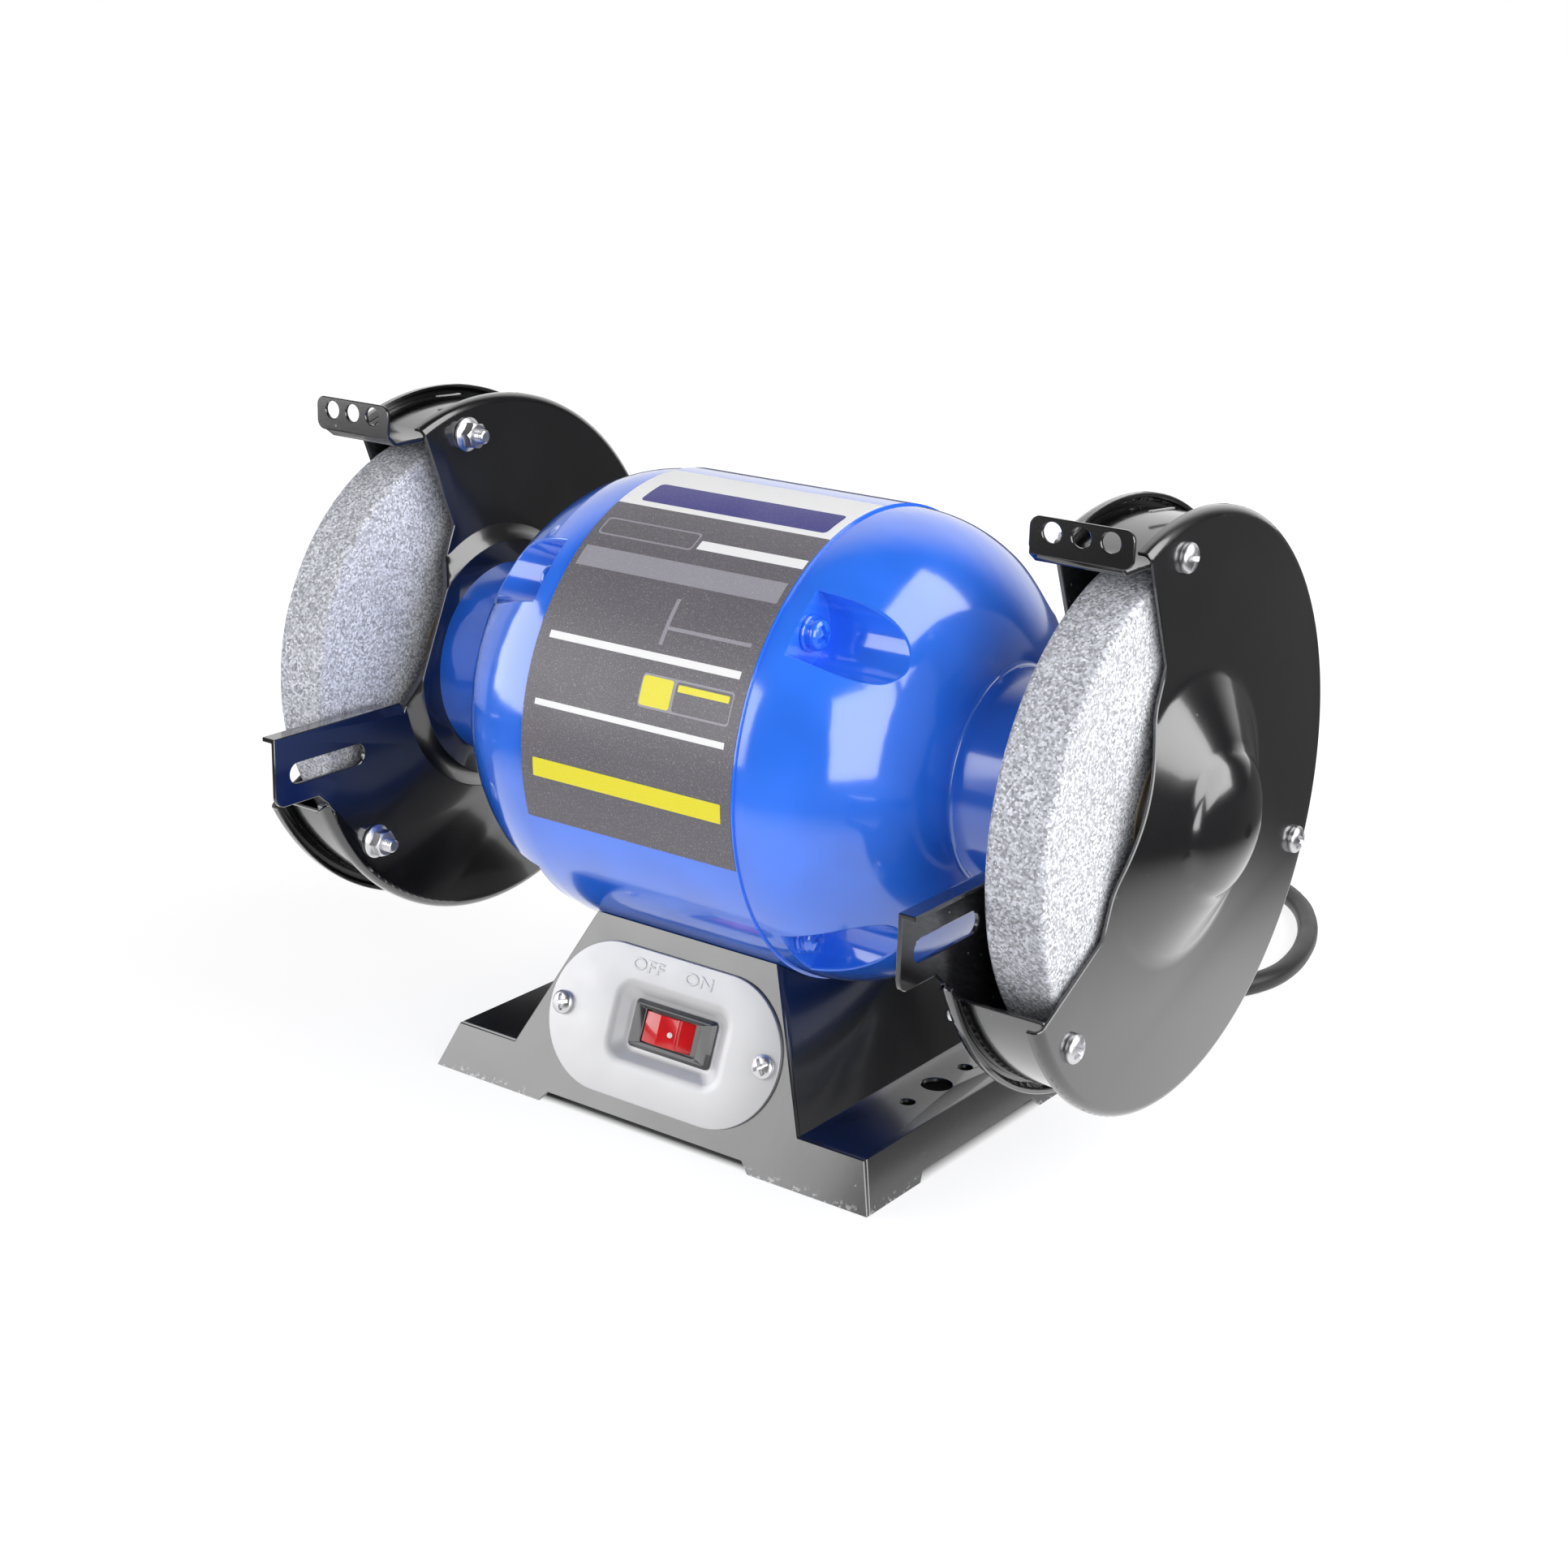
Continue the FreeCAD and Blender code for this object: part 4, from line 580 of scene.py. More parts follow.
class GRINDER_OT_sheets(bpy.types.Operator):
    """Breaks the cut edges of the pressed sheet-metal parts, and marks the guard bands"""
    bl_idname = "grinder.sheets"
    bl_label = "Sheet edges"

    edge = 0.25 * MM
    crease = 24.3 * MM
    drawn = 0.93

    def sheet(self, name, slot):
        """Copy of a CAD sheet with broken edges; a cover's dome is drawn in at its crease to sharpen the step."""
        domed = name.startswith("outer_cover")
        bm = merged(name)
        flat = [e for e in bm.edges if not domed or all(abs(f.normal.x) > 0.9999 for f in e.link_faces)]
        bmesh.ops.dissolve_limit(bm, angle_limit=math.radians(0.3), use_dissolve_boundaries=False,
                                 verts=list({v for e in flat for v in e.verts}), edges=flat, delimit=set())
        if domed:
            dome = [v for v in bm.verts if math.hypot(v.co.y - SHAFT.y, v.co.z - SHAFT.z) < self.crease]
            bmesh.ops.scale(bm, vec=(1, self.drawn, self.drawn), space=Matrix.Translation(-SHAFT), verts=dome)
        bend = math.radians(60 if domed else 40)
        cut = [e for e in bm.edges if len(e.link_faces) == 2 and e.calc_face_angle() > bend]
        eased(bm, cut, self.edge, 1, clamp=False)
        piece(name + "_sheet", bm, list(nodes[name].data.materials), "frame", [name], 20 if domed else 28)

    def mark(self, side):
        """Small oblong pressed into the top of a guard band."""
        bm = bmesh.new()
        top = raised(bm, [rounded_face(bm, 9 * MM, 2 * MM, 0.95 * MM, segments=6)], 0.3 * MM)
        eased(bm, list(top[0].edges), 0.2 * MM, 2)
        low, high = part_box("guard_band_" + side)
        lean, turn = math.radians(3), math.radians(66)
        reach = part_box("outer_cover_" + side)[1].z - SHAFT.z - 1.6 * MM
        at = ((low.x + high.x) / 2, SHAFT.y - reach * math.sin(lean), SHAFT.z + reach * math.cos(lean))
        place = Matrix.Translation(at) @ Matrix.Rotation(lean, 4, "X") @ Matrix.Rotation(turn, 4, "Z")
        piece("band_mark_" + side, joined([(bm, place)]), [finish("guard_black")], "frame", (), 40)

    def execute(self, context):
        for name in sides("inner_guard", "guard_band", "outer_cover"):
            self.sheet(name, "guard_paint")
        for name in ("base_saddle", "base_front_plate", "base_rear_plate"):
            self.sheet(name, "base_paint")
        for side, _ in SIDES:
            self.mark(side)
        return {"FINISHED"}


# Screws and nuts

def pan_head(radius, height, shank, length, drive=0.86, depth=0.7):
    """Pan head with a tapered cross recess on a plain shank; the seat of the head is at zero."""
    arc = [(radius * math.cos(a), height * (0.35 + 0.65 * math.sin(a))) for a in (i * math.pi / 16 for i in range(8))]
    profile = [(0, -length), (shank * 0.8, -length), (shank, -length + shank * 0.3), (shank, 0),
               (radius * 0.97, 0), (radius, height * 0.12)]
    head = turned(profile + arc + [(0, height)], 40)
    cross = bmesh.new()
    reach = radius * drive
    bmesh.ops.create_grid(cross, x_segments=3, y_segments=3, size=reach)
    corners = [f for f in cross.faces if min(map(abs, f.calc_center_median().xy)) > reach * 0.4]
    bmesh.ops.delete(cross, geom=corners, context="FACES")
    for axis, narrower in enumerate(((0.66, 1, 1), (1, 0.66, 1))):
        inner = [v for v in cross.verts if abs(v.co[axis]) < reach * 0.5]
        bmesh.ops.scale(cross, vec=narrower, verts=inner)
    bmesh.ops.translate(cross, vec=(0, 0, height * 1.2), verts=cross.verts)
    foot = raised(cross, list(cross.faces), -height * (0.2 + depth))
    bmesh.ops.scale(cross, vec=(0.62, 0.62, 1), verts=list({v for f in foot for v in f.verts}))
    closed(cross)
    bmesh.ops.remove_doubles(cross, verts=cross.verts, dist=1e-7)
    return carved(head, cross)


def washer(radius, bore, height, start):
    edge = height * 0.25
    top = start + height
    return turned([(bore, start), (bore, top), (radius - edge, top), (radius, top - edge), (radius, start + edge),
                   (radius - edge, start), (bore, start)], 36)


def lock_washer(radius, bore, height, start):
    """Split spring washer."""
    top = start + height * 0.8
    ring = turned([(bore, start), (bore, top), (radius, top), (radius, start), (bore, start)],
                  34, math.radians(350), height * 0.22)
    bmesh.ops.holes_fill(ring, edges=[e for e in ring.edges if e.is_boundary])
    return ring


def thread(radius, pitch, length, start):
    """Screw thread that climbs along Z, with a tapered tip."""
    turns = int(length / pitch)
    ridge = turned([(radius * 0.86, start), (radius, start + pitch * 0.5), (radius * 0.86, start + pitch)],
                   turns * 20, math.tau * turns, pitch)
    tip = start + (turns + 1) * pitch
    core = turned([(0, start), (radius * 0.9, start), (radius * 0.9, tip - pitch * 0.4), (radius * 0.7, tip),
                   (0, tip)], 20)
    return joined([(ridge, Matrix()), (core, Matrix())])


def flange_nut(flats, height, flange, bore):
    """Hexagon nut with chamfered corners on a flange; its seat is at zero."""
    hexagon = bmesh.new()
    bmesh.ops.create_circle(hexagon, cap_ends=True, segments=6, radius=flats / math.sqrt(3))
    bmesh.ops.translate(hexagon, vec=(0, 0, height * 0.1), verts=hexagon.verts)
    raised(hexagon, list(hexagon.faces), height * 0.9)
    closed(hexagon)
    crown = turned([(0, 0), (flats, 0), (flats, height * 0.4), (flats * 0.575, height * 0.84),
                    (flats * 0.47, height), (0, height)], 48)
    skirt = turned([(bore, 0), (flange * 0.97, 0), (flange, height * 0.06), (flange, height * 0.16),
                    (flange * 0.93, height * 0.24), (flats * 0.45, height * 0.42), (bore, height * 0.42)], 48)
    return joined([(carved(hexagon, crown, "INTERSECT"), Matrix()), (skirt, Matrix())])


def outer_end(name):
    """Distance of a CAD node's far end from the middle of the grinder."""
    return max(abs(corner.x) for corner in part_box(name))


class GRINDER_OT_guard_screws(bpy.types.Operator):
    """Makes the cross-head screws and flange nuts that hold the wheel guards together"""
    bl_idname = "grinder.guard_screws"
    bl_label = "Guard screws and nuts"

    def execute(self, context):
        height, shank_radius, span = 3.0 * MM, 2.35 * MM, 34 * MM
        head = pan_head(radius=4.4 * MM, height=height, shank=shank_radius, length=8 * MM)
        shank = turned([(0, -span), (shank_radius, -span), (shank_radius, 0), (0, 0)], 24)
        nut = flange_nut(flats=8 * MM, height=5.4 * MM, flange=5.7 * MM, bore=2.0 * MM)
        end = thread(radius=2.4 * MM, pitch=0.8 * MM, length=9 * MM, start=-1 * MM)
        zinc = [finish("zinc_plate")]
        for side, sign in SIDES:
            out = Vector((sign, 0, 0))
            cover = outer_end("guard_screws_" + side) - height
            face = outer_end("guard_nuts_" + side)
            screws, nuts = [], []
            for number, (low, high) in enumerate(solids_of("guard_screws_" + side)):
                axis = (low + high) / 2
                turn = Matrix.Rotation(0.5 + 0.9 * number, 4, "Z")
                on_cover = seated((sign * cover, axis.y, axis.z), out)
                on_guard = seated((sign * face, axis.y, axis.z), -out) @ turn
                screws += [(head, on_cover @ turn), (shank, on_cover), (end, on_guard)]
                nuts.append((nut, on_guard))
            piece("guard_screw_set_" + side, joined(screws), zinc, "frame", ["guard_screws_" + side], 32)
            piece("guard_nut_set_" + side, joined(nuts), zinc, "frame", ["guard_nuts_" + side], 32)
        return {"FINISHED"}


class GRINDER_OT_bell_screws(bpy.types.Operator):
    """Makes the painted screws, spring washers and washers in the pockets of the end bells"""
    bl_idname = "grinder.bell_screws"
    bl_label = "Bell screws"

    def execute(self, context):
        head = pan_head(radius=4.7 * MM, height=3.1 * MM, shank=2.4 * MM, length=22 * MM)
        flat = washer(radius=5.5 * MM, bore=2.5 * MM, height=1.2 * MM, start=-2.5 * MM)
        spring = lock_washer(radius=4.4 * MM, bore=2.5 * MM, height=1.3 * MM, start=-1.28 * MM)
        for side, sign in SIDES:
            parts = []
            for number, (low, high) in enumerate(solids_of("bell_screws_" + side)):
                seat = (high.x if sign > 0 else low.x) - sign * 3.0 * MM
                place = seated((seat, (low.y + high.y) / 2, (low.z + high.z) / 2), (sign, 0, 0))
                turn = place @ Matrix.Rotation(0.35 + 0.8 * number, 4, "Z")
                parts += [(head, turn), (flat, place), (spring, turn)]
            piece("bell_screw_set_" + side, joined(parts), [finish("motor_blue")], "frame",
                  ["bell_screws_" + side], 32)
        return {"FINISHED"}


# Switch

def on_plate(switch):
    """Matrix of the sloping plate: X across, Y up the slope, Z out."""
    return Matrix.Translation(switch.middle) @ Matrix.Rotation(switch.lean, 4, "X")


def plate_top(switch):
    """Level of the plate's face above its back, with the hair of room that it stands off the base."""
    return switch.plate_size[2] + 0.02 * MM


def shelf_level(switch):
    return plate_top(switch) - switch.recess_size[2]


def drawn_in(bm, edges, size, middle, level):
    """Extrudes a loop of edges to a new size and level about a middle, and gives the new loop."""
    made = bmesh.ops.extrude_edge_only(bm, edges=edges)["geom"]
    verts = verts_in(made)
    for i in range(2):
        low, high = (pick(v.co[i] for v in verts) for pick in (min, max))
        centre, factor = (low + high) / 2, size[i] / (high - low)
        for vert in verts:
            vert.co[i] = middle[i] + (vert.co[i] - centre) * factor
    for vert in verts:
        vert.co.z = level
    return [g for g in made if isinstance(g, bmesh.types.BMEdge)
            and all(abs(v.co.z - level) < 1e-9 and v in verts for v in g.verts)]


def eased_left(bm, edges, width, segments):
    """Rounds over those of the edges that an earlier step has left."""
    eased(bm, [e for e in edges if e.is_valid], width, segments)


class GRINDER_OT_switch_plate(bpy.types.Operator):
    """Presses the bright switch plate with its recess, and sets its screws and embossed legends"""
    bl_idname = "grinder.switch_plate"
    bl_label = "Switch plate"

    def plate(self, switch):
        length, height, wall = switch.plate_size
        across, up = switch.offset
        top, shelf = plate_top(switch), shelf_level(switch)
        hole = (28.4 * MM, 13.0 * MM)
        bm = bmesh.new()
        rim = rounded_face(bm, length, height, height / 2 - 0.01 * MM, level=top, segments=24)
        rim_edges = list(rim.edges)
        bmesh.ops.delete(bm, geom=[rim], context="FACES_ONLY")
        mouth = rounded_face(bm, switch.recess_size[0], switch.recess_size[1], 5.6 * MM, across, 0, top, 10)
        mouth_edges = list(mouth.edges)
        bmesh.ops.delete(bm, geom=[mouth], context="FACES_ONLY")
        bmesh.ops.triangle_fill(bm, use_beauty=True, use_dissolve=False, edges=rim_edges + mouth_edges)
        drawn_in(bm, rim_edges, (length, height), (0, 0), 0.02 * MM)
        foot = drawn_in(bm, mouth_edges, switch.shelf_size, (across, up), shelf)
        inner = drawn_in(bm, foot, hole, (across, up), shelf)
        drawn_in(bm, inner, hole, (across, up), shelf - wall)
        eased_left(bm, mouth_edges, 1.7 * MM, 6)
        eased_left(bm, foot, 1.3 * MM, 5)
        eased_left(bm, rim_edges, 0.35 * MM, 3)
        return bm

    def legend(self, word):
        """Raised word, wider than the font's own letters."""
        data = bpy.data.curves.new("legend", "FONT")
        data.body, data.size, data.align_x, data.align_y = word, 5.4 * MM, "CENTER", "CENTER"
        data.extrude, data.bevel_depth, data.bevel_resolution = 0.10 * MM, 0.12 * MM, 2
        made = in_scene("legend", data)
        bpy.context.view_layer.update()
        mesh = bpy.data.meshes.new_from_object(made.evaluated_get(bpy.context.evaluated_depsgraph_get()))
        bm = bmesh.new()
        bm.from_mesh(mesh)
        bpy.data.objects.remove(made)
        bpy.data.curves.remove(data)
        bpy.data.meshes.remove(mesh)
        bmesh.ops.scale(bm, vec=(1.35, 1, 1), verts=bm.verts)
        return bm

    def execute(self, context):
        switch = context.scene.grinder_switch
        place = on_plate(switch)
        top = plate_top(switch)
        metal = [finish("switch_plate_metal")]
        piece("pressed_switch_plate", joined([(self.plate(switch), place)]), metal, "frame",
              ["switch_plate"], 50)
        words = [(self.legend(word), place @ Matrix.Translation((across, 18.9 * MM, top)))
                 for word, across in (("OFF", -10.5 * MM), ("ON", 9.7 * MM))]
        piece("switch_legends", joined(words), metal, "frame", (), 40)
        head = pan_head(radius=3.9 * MM, height=2.2 * MM, shank=1.8 * MM, length=6 * MM)
        screws = [(head, place @ Matrix.Translation((x, 0, top)) @ Matrix.Rotation(turn, 4, "Z"))
                  for x, turn in ((-40 * MM, 0.3), (40 * MM, 0.62))]
        piece("switch_screw_set", joined(screws), [finish("zinc_plate")], "frame",
              ["switch_plate_screws"], 32)
        return {"FINISHED"}


class GRINDER_OT_switch(bpy.types.Operator):
    """Moulds the dark bezel and its body, and the red rocker with its white dot"""
    bl_idname = "grinder.switch"
    bl_label = "Switch and rocker"

    def bezel(self, switch):
        across, up = switch.offset
        length, height, rise = switch.bezel_size
        bm = bmesh.new()
        face = rounded_face(bm, length, height, 1.5 * MM, across, up, shelf_level(switch), 4)
        top = raised(bm, [face], rise)
        outer = list(top[0].edges)
        bmesh.ops.inset_region(bm, faces=top, thickness=(height - switch.opening_size[1]) / 2, depth=0)
        inner = top[0]
        spread = switch.opening_size[0] / (length - height + switch.opening_size[1])
        bmesh.ops.scale(bm, vec=(spread, 1, 1), space=Matrix.Translation((-across, -up, 0)), verts=list(inner.verts))
        mouth = list(inner.edges)
        raised(bm, [inner], -7.0 * MM)
        if inner.is_valid:
            bmesh.ops.delete(bm, geom=[inner], context="FACES_ONLY")
        eased_left(bm, outer, 1.15 * MM, 1)
        eased_left(bm, mouth, 0.3 * MM, 2)
        return bm

    def housing(self, switch):
        """Bezel with the closed body behind it, its three blades and the open collar between them."""
        across, up = switch.offset
        shelf = shelf_level(switch)
        length, height, corner = 28 * MM, 12.6 * MM, 0.6 * MM
        box = bmesh.new()
        raised(box, [rounded_face(box, length, height, corner, across, up, shelf - 21 * MM, 2)], 14 * MM)
        for spot in (-8 * MM, 0, 8 * MM):
            blade = rounded_face(box, 0.8 * MM, 6.3 * MM, 0.2 * MM, across + spot, up, shelf - 29 * MM, 1)
            raised(box, [blade], 9 * MM)
        collar = bmesh.new()
        raised(collar, [rounded_face(collar, length, height, corner, across, up, shelf - 8 * MM, 2)], 8 * MM)
        for cap in [f for f in collar.faces if abs(f.normal.z) > 0.9]:
            collar.faces.remove(cap)
        return joined([(self.bezel(switch), Matrix()), (box, Matrix()), (collar, Matrix())])

    def rocker(self):
        """Rocker about its pivot: X across, Y along the pivot, Z out."""
        outline = [(-7, -2.2), (7, -2.2), (10.25, 0), (10.25, 1.3), (3.3, 3.05), (3.1, 3.5), (2.4, 3.65), (2.2, 3.35),
                   (-4.0, 4.8), (-10.25, 3.5), (-10.25, 0)]
        width, pin, pin_reach = 9.8 * MM, 1.35 * MM, 5.75 * MM
        bm = bmesh.new()
        face = bm.faces.new([bm.verts.new((x * MM, -width / 2, z * MM)) for x, z in outline])
        made = bmesh.ops.extrude_face_region(bm, geom=[face])["geom"]
        bmesh.ops.translate(bm, vec=(0, width, 0), verts=verts_in(made))
        closed(bm)
        eased(bm, list(bm.edges), 0.12 * MM, 2)
        pins = turned([(0, -pin_reach), (pin, -pin_reach), (pin, pin_reach), (0, pin_reach)], 24)
        return joined([(bm, Matrix()), (pins, Matrix.Rotation(math.pi / 2, 4, "X"))])

    def execute(self, context):
        switch = context.scene.grinder_switch
        place = on_plate(switch)
        piece("switch_case", joined([(self.housing(switch), place)]), [finish("switch_housing")], "frame",
              ["switch_housing"], 30)
        pivot = shelf_level(switch) + switch.bezel_size[2] - 3.6 * MM
        at_pivot = place @ Matrix.Translation((*switch.offset, pivot))
        piece("red_rocker", joined([(self.rocker(), at_pivot)]), [finish("switch_rocker")], "rocker",
              ["switch_rocker"], 30)
        slope = -math.atan2(1.45, 6.2)
        on_slope = Vector((0.2 * MM, -0.5 * MM, 4.8 * MM + 4.2 * MM * math.tan(slope)))
        dot = turned([(0, 0.12 * MM), (0.75 * MM, 0.12 * MM), (0.9 * MM, 0.02 * MM), (0.9 * MM, -0.2 * MM),
                      (0, -0.2 * MM)], 24)
        spot = at_pivot @ Matrix.Translation(on_slope) @ Matrix.Rotation(-slope, 4, "Y")
        white = moulded("dot_white", (0.82, 0.82, 0.8), 0.3)
        piece("rocker_dot", joined([(dot, spot)]), [white], "rocker")
        return {"FINISHED"}


# Sticker

CHARCOAL, WHITE, GREY, BLUE, YELLOW = range(5)


class GRINDER_OT_sticker(bpy.types.Operator):
    """Lays the printed film round the front of the motor band"""
    bl_idname = "grinder.sticker"
    bl_label = "Sticker"

    layer = 0.025 * MM

    def patch(self, bm, left, right, low, high, lift, ink, corner=0.0):
        """Patch on the band between two distances across and two angles in degrees, lifted off the steel."""
        before = set(bm.faces)
        radius, start = BAND_RADIUS + lift, math.radians(low)
        rise = Vector((0, -radius * math.cos(start), radius * math.sin(start)))
        ends = [bm.verts.new(SHAFT + rise + Vector((x, 0, 0))) for x in (left, right)]
        bmesh.ops.spin(bm, geom=ends + [bm.edges.new(ends)], cent=SHAFT, axis=(-1, 0, 0),
                       angle=math.radians(high - low), steps=max(2, round((high - low) / 1.6)), use_merge=False,
                       dvec=(0, 0, 0))
        made = [face for face in bm.faces if face not in before]
        for face in made:
            face.material_index = ink
        if corner:
            corners = [v for v in {v for face in made for v in face.verts} if len(v.link_edges) == 2]
            eased(bm, corners, corner, 5, "VERTICES")

    def execute(self, context):
        sticker = context.scene.grinder_sticker
        half, film = sticker.half_width, sticker.film
        bm = bmesh.new()
        self.patch(bm, -half, half, sticker.foot, sticker.field, film, CHARCOAL)
        self.patch(bm, -half, half, sticker.field, sticker.head, film, WHITE)
        bmesh.ops.remove_doubles(bm, verts=bm.verts, dist=1e-6)
        rim = [edge for edge in bm.edges if edge.is_boundary]
        wall = bmesh.ops.extrude_edge_only(bm, edges=rim)["geom"]
        shrink = (BAND_RADIUS + 0.01 * MM) / (BAND_RADIUS + film)
        bmesh.ops.scale(bm, vec=(1, shrink, shrink), space=Matrix.Translation(-SHAFT), verts=verts_in(wall))
        # Left, right, lower and upper edge (mm across, degrees round the shaft), layers up, ink, corner radius (mm)
        prints = [
            (-33.5, 37.0, 69.0, 78.0, 1, BLUE, 1.6),
            (-37.5, -1.0, 55.2, 61.0, 1, GREY, 1.5),
            (-36.9, -1.6, 55.7, 60.5, 2, CHARCOAL, 1.2),
            (0.4, 39.6, 56.0, 58.8, 1, WHITE, 0),
            (-37.9, 38.2, 45.6, 51.4, 1, GREY, 0),
            (4.6, 6.0, 30.5, 42.0, 1, GREY, 0),
            (6.0, 36.5, 34.2, 35.1, 1, GREY, 0),
            (-35.8, 36.4, 26.7, 28.5, 1, WHITE, 0),
            (2.7, 36.4, 15.9, 23.7, 1, GREY, 1.2),
            (3.1, 14.3, 16.4, 23.2, 2, YELLOW, 0.9),
            (15.4, 36.0, 16.4, 23.2, 2, CHARCOAL, 0.9),
            (16.2, 35.0, 21.0, 22.6, 3, YELLOW, 0.4),
            (-35.8, 36.2, 10.9, 12.4, 1, WHITE, 0),
            (-35.5, 36.4, -6.2, -1.6, 1, YELLOW, 0.3)]
        for left, right, low, high, layers, ink, corner in prints:
            self.patch(bm, left * MM, right * MM, low, high, film + layers * self.layer, ink, corner * MM)
        inks = [printed("sticker_charcoal", (0.128, 0.122, 0.138), (0.45, 0.44, 0.48)),
                printed("sticker_white", (0.88, 0.88, 0.89), (0.93, 0.93, 0.93)),
                printed("sticker_grey", (0.31, 0.30, 0.345), (0.5, 0.5, 0.53)),
                printed("sticker_blue", (0.035, 0.03, 0.22), (0.2, 0.2, 0.45)),
                printed("sticker_yellow", (0.84, 0.75, 0.02), (0.9, 0.85, 0.3))]
        piece("motor_sticker", bm, inks, "frame", (), 30, 2e-7)
        return {"FINISHED"}


# Cord

class GRINDER_OT_cord(bpy.types.Operator):
    """Lays the mains cord from the strain relief, round behind the right guard and into its put-away coil"""
    bl_idname = "grinder.cord"
    bl_label = "Mains cord"

    def route(self, turn_points):
        """Control points in mm: a laid run given point by point, a coil that spirals in, climbs and spirals out, a
        tail.
        """
        back, floor, lift = 64.63, 4.0, 5.3
        middle, rim, pitch, rise = (-17.79, 234.58), 54.0, 9.4, 8.5
        points = [(40, back - 6, 22), (40, back + 20, 22), (40, back + 38, 22), (48, back + 61, 15),
                  (66, back + 80, 6.5), (89, back + 93, floor), (101.5, back + 117, floor), (101, back + 143, floor),
                  (92, back + 174, floor), (75, back + 202, floor), (50, back + 218, floor), (20, back + 225, floor),
                  (-9.99, 288.8, floor + 0.5)]
        step = 2 / turn_points
        shrink = 0.75 + 0.25 * math.cos(math.pi * step)
        halves = 0.5 * step
        while halves < 11:
            radius = rim - pitch / 2 * (halves if halves < 5 else 5 if halves < 6 else 11 - halves)
            climb = min(max(halves - 5, 0), 1)
            angle = math.pi * (0.5 + halves)
            held = math.exp(-(math.sin(angle / 2) / 0.35) ** 2)
            out = radius / shrink
            points.append((middle[0] + out * math.cos(angle), middle[1] + out * math.sin(angle),
                           floor + (lift - floor) * held + rise * climb))
            halves += step
        return points + [(middle[0] + run * 0.9996, middle[1] - rim - run * 0.0277, lift + rise) for run in (14, 38)]

    def plug(self):
        """Copy of the CAD plug with plated blades."""
        bm = merged("power_plug")
        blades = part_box("power_plug")[1].x - 19.5 * MM
        for face in bm.faces:
            face.material_index = int(face.calc_center_median().x > blades)
        return piece("mains_plug", bm, [finish("cord_rubber"), finish("zinc_plate")], "frame",
                     ["power_plug"], 30)

    def execute(self, context):
        cord = context.scene.grinder_cord
        route = self.route(cord.turn_points)
        curve = bpy.data.curves.new("mains_cord", "CURVE")
        curve.dimensions, curve.use_fill_caps, curve.resolution_u = "3D", True, 6
        curve.bevel_depth, curve.bevel_resolution = cord.diameter / 2, 6
        spline = curve.splines.new("NURBS")
        spline.points.add(len(route) - 1)
        for point, place in zip(spline.points, route):
            point.co = (*(c * MM for c in place), 1)
        spline.order_u = 3
        spline.use_endpoint_u = True
        curve.materials.append(finish("cord_rubber"))
        plug = self.plug()
        made = in_scene("mains_cord", curve)
        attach(made, "frame")
        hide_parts("power_cord", "cord_coil")
        return {"FINISHED"}


# Stage

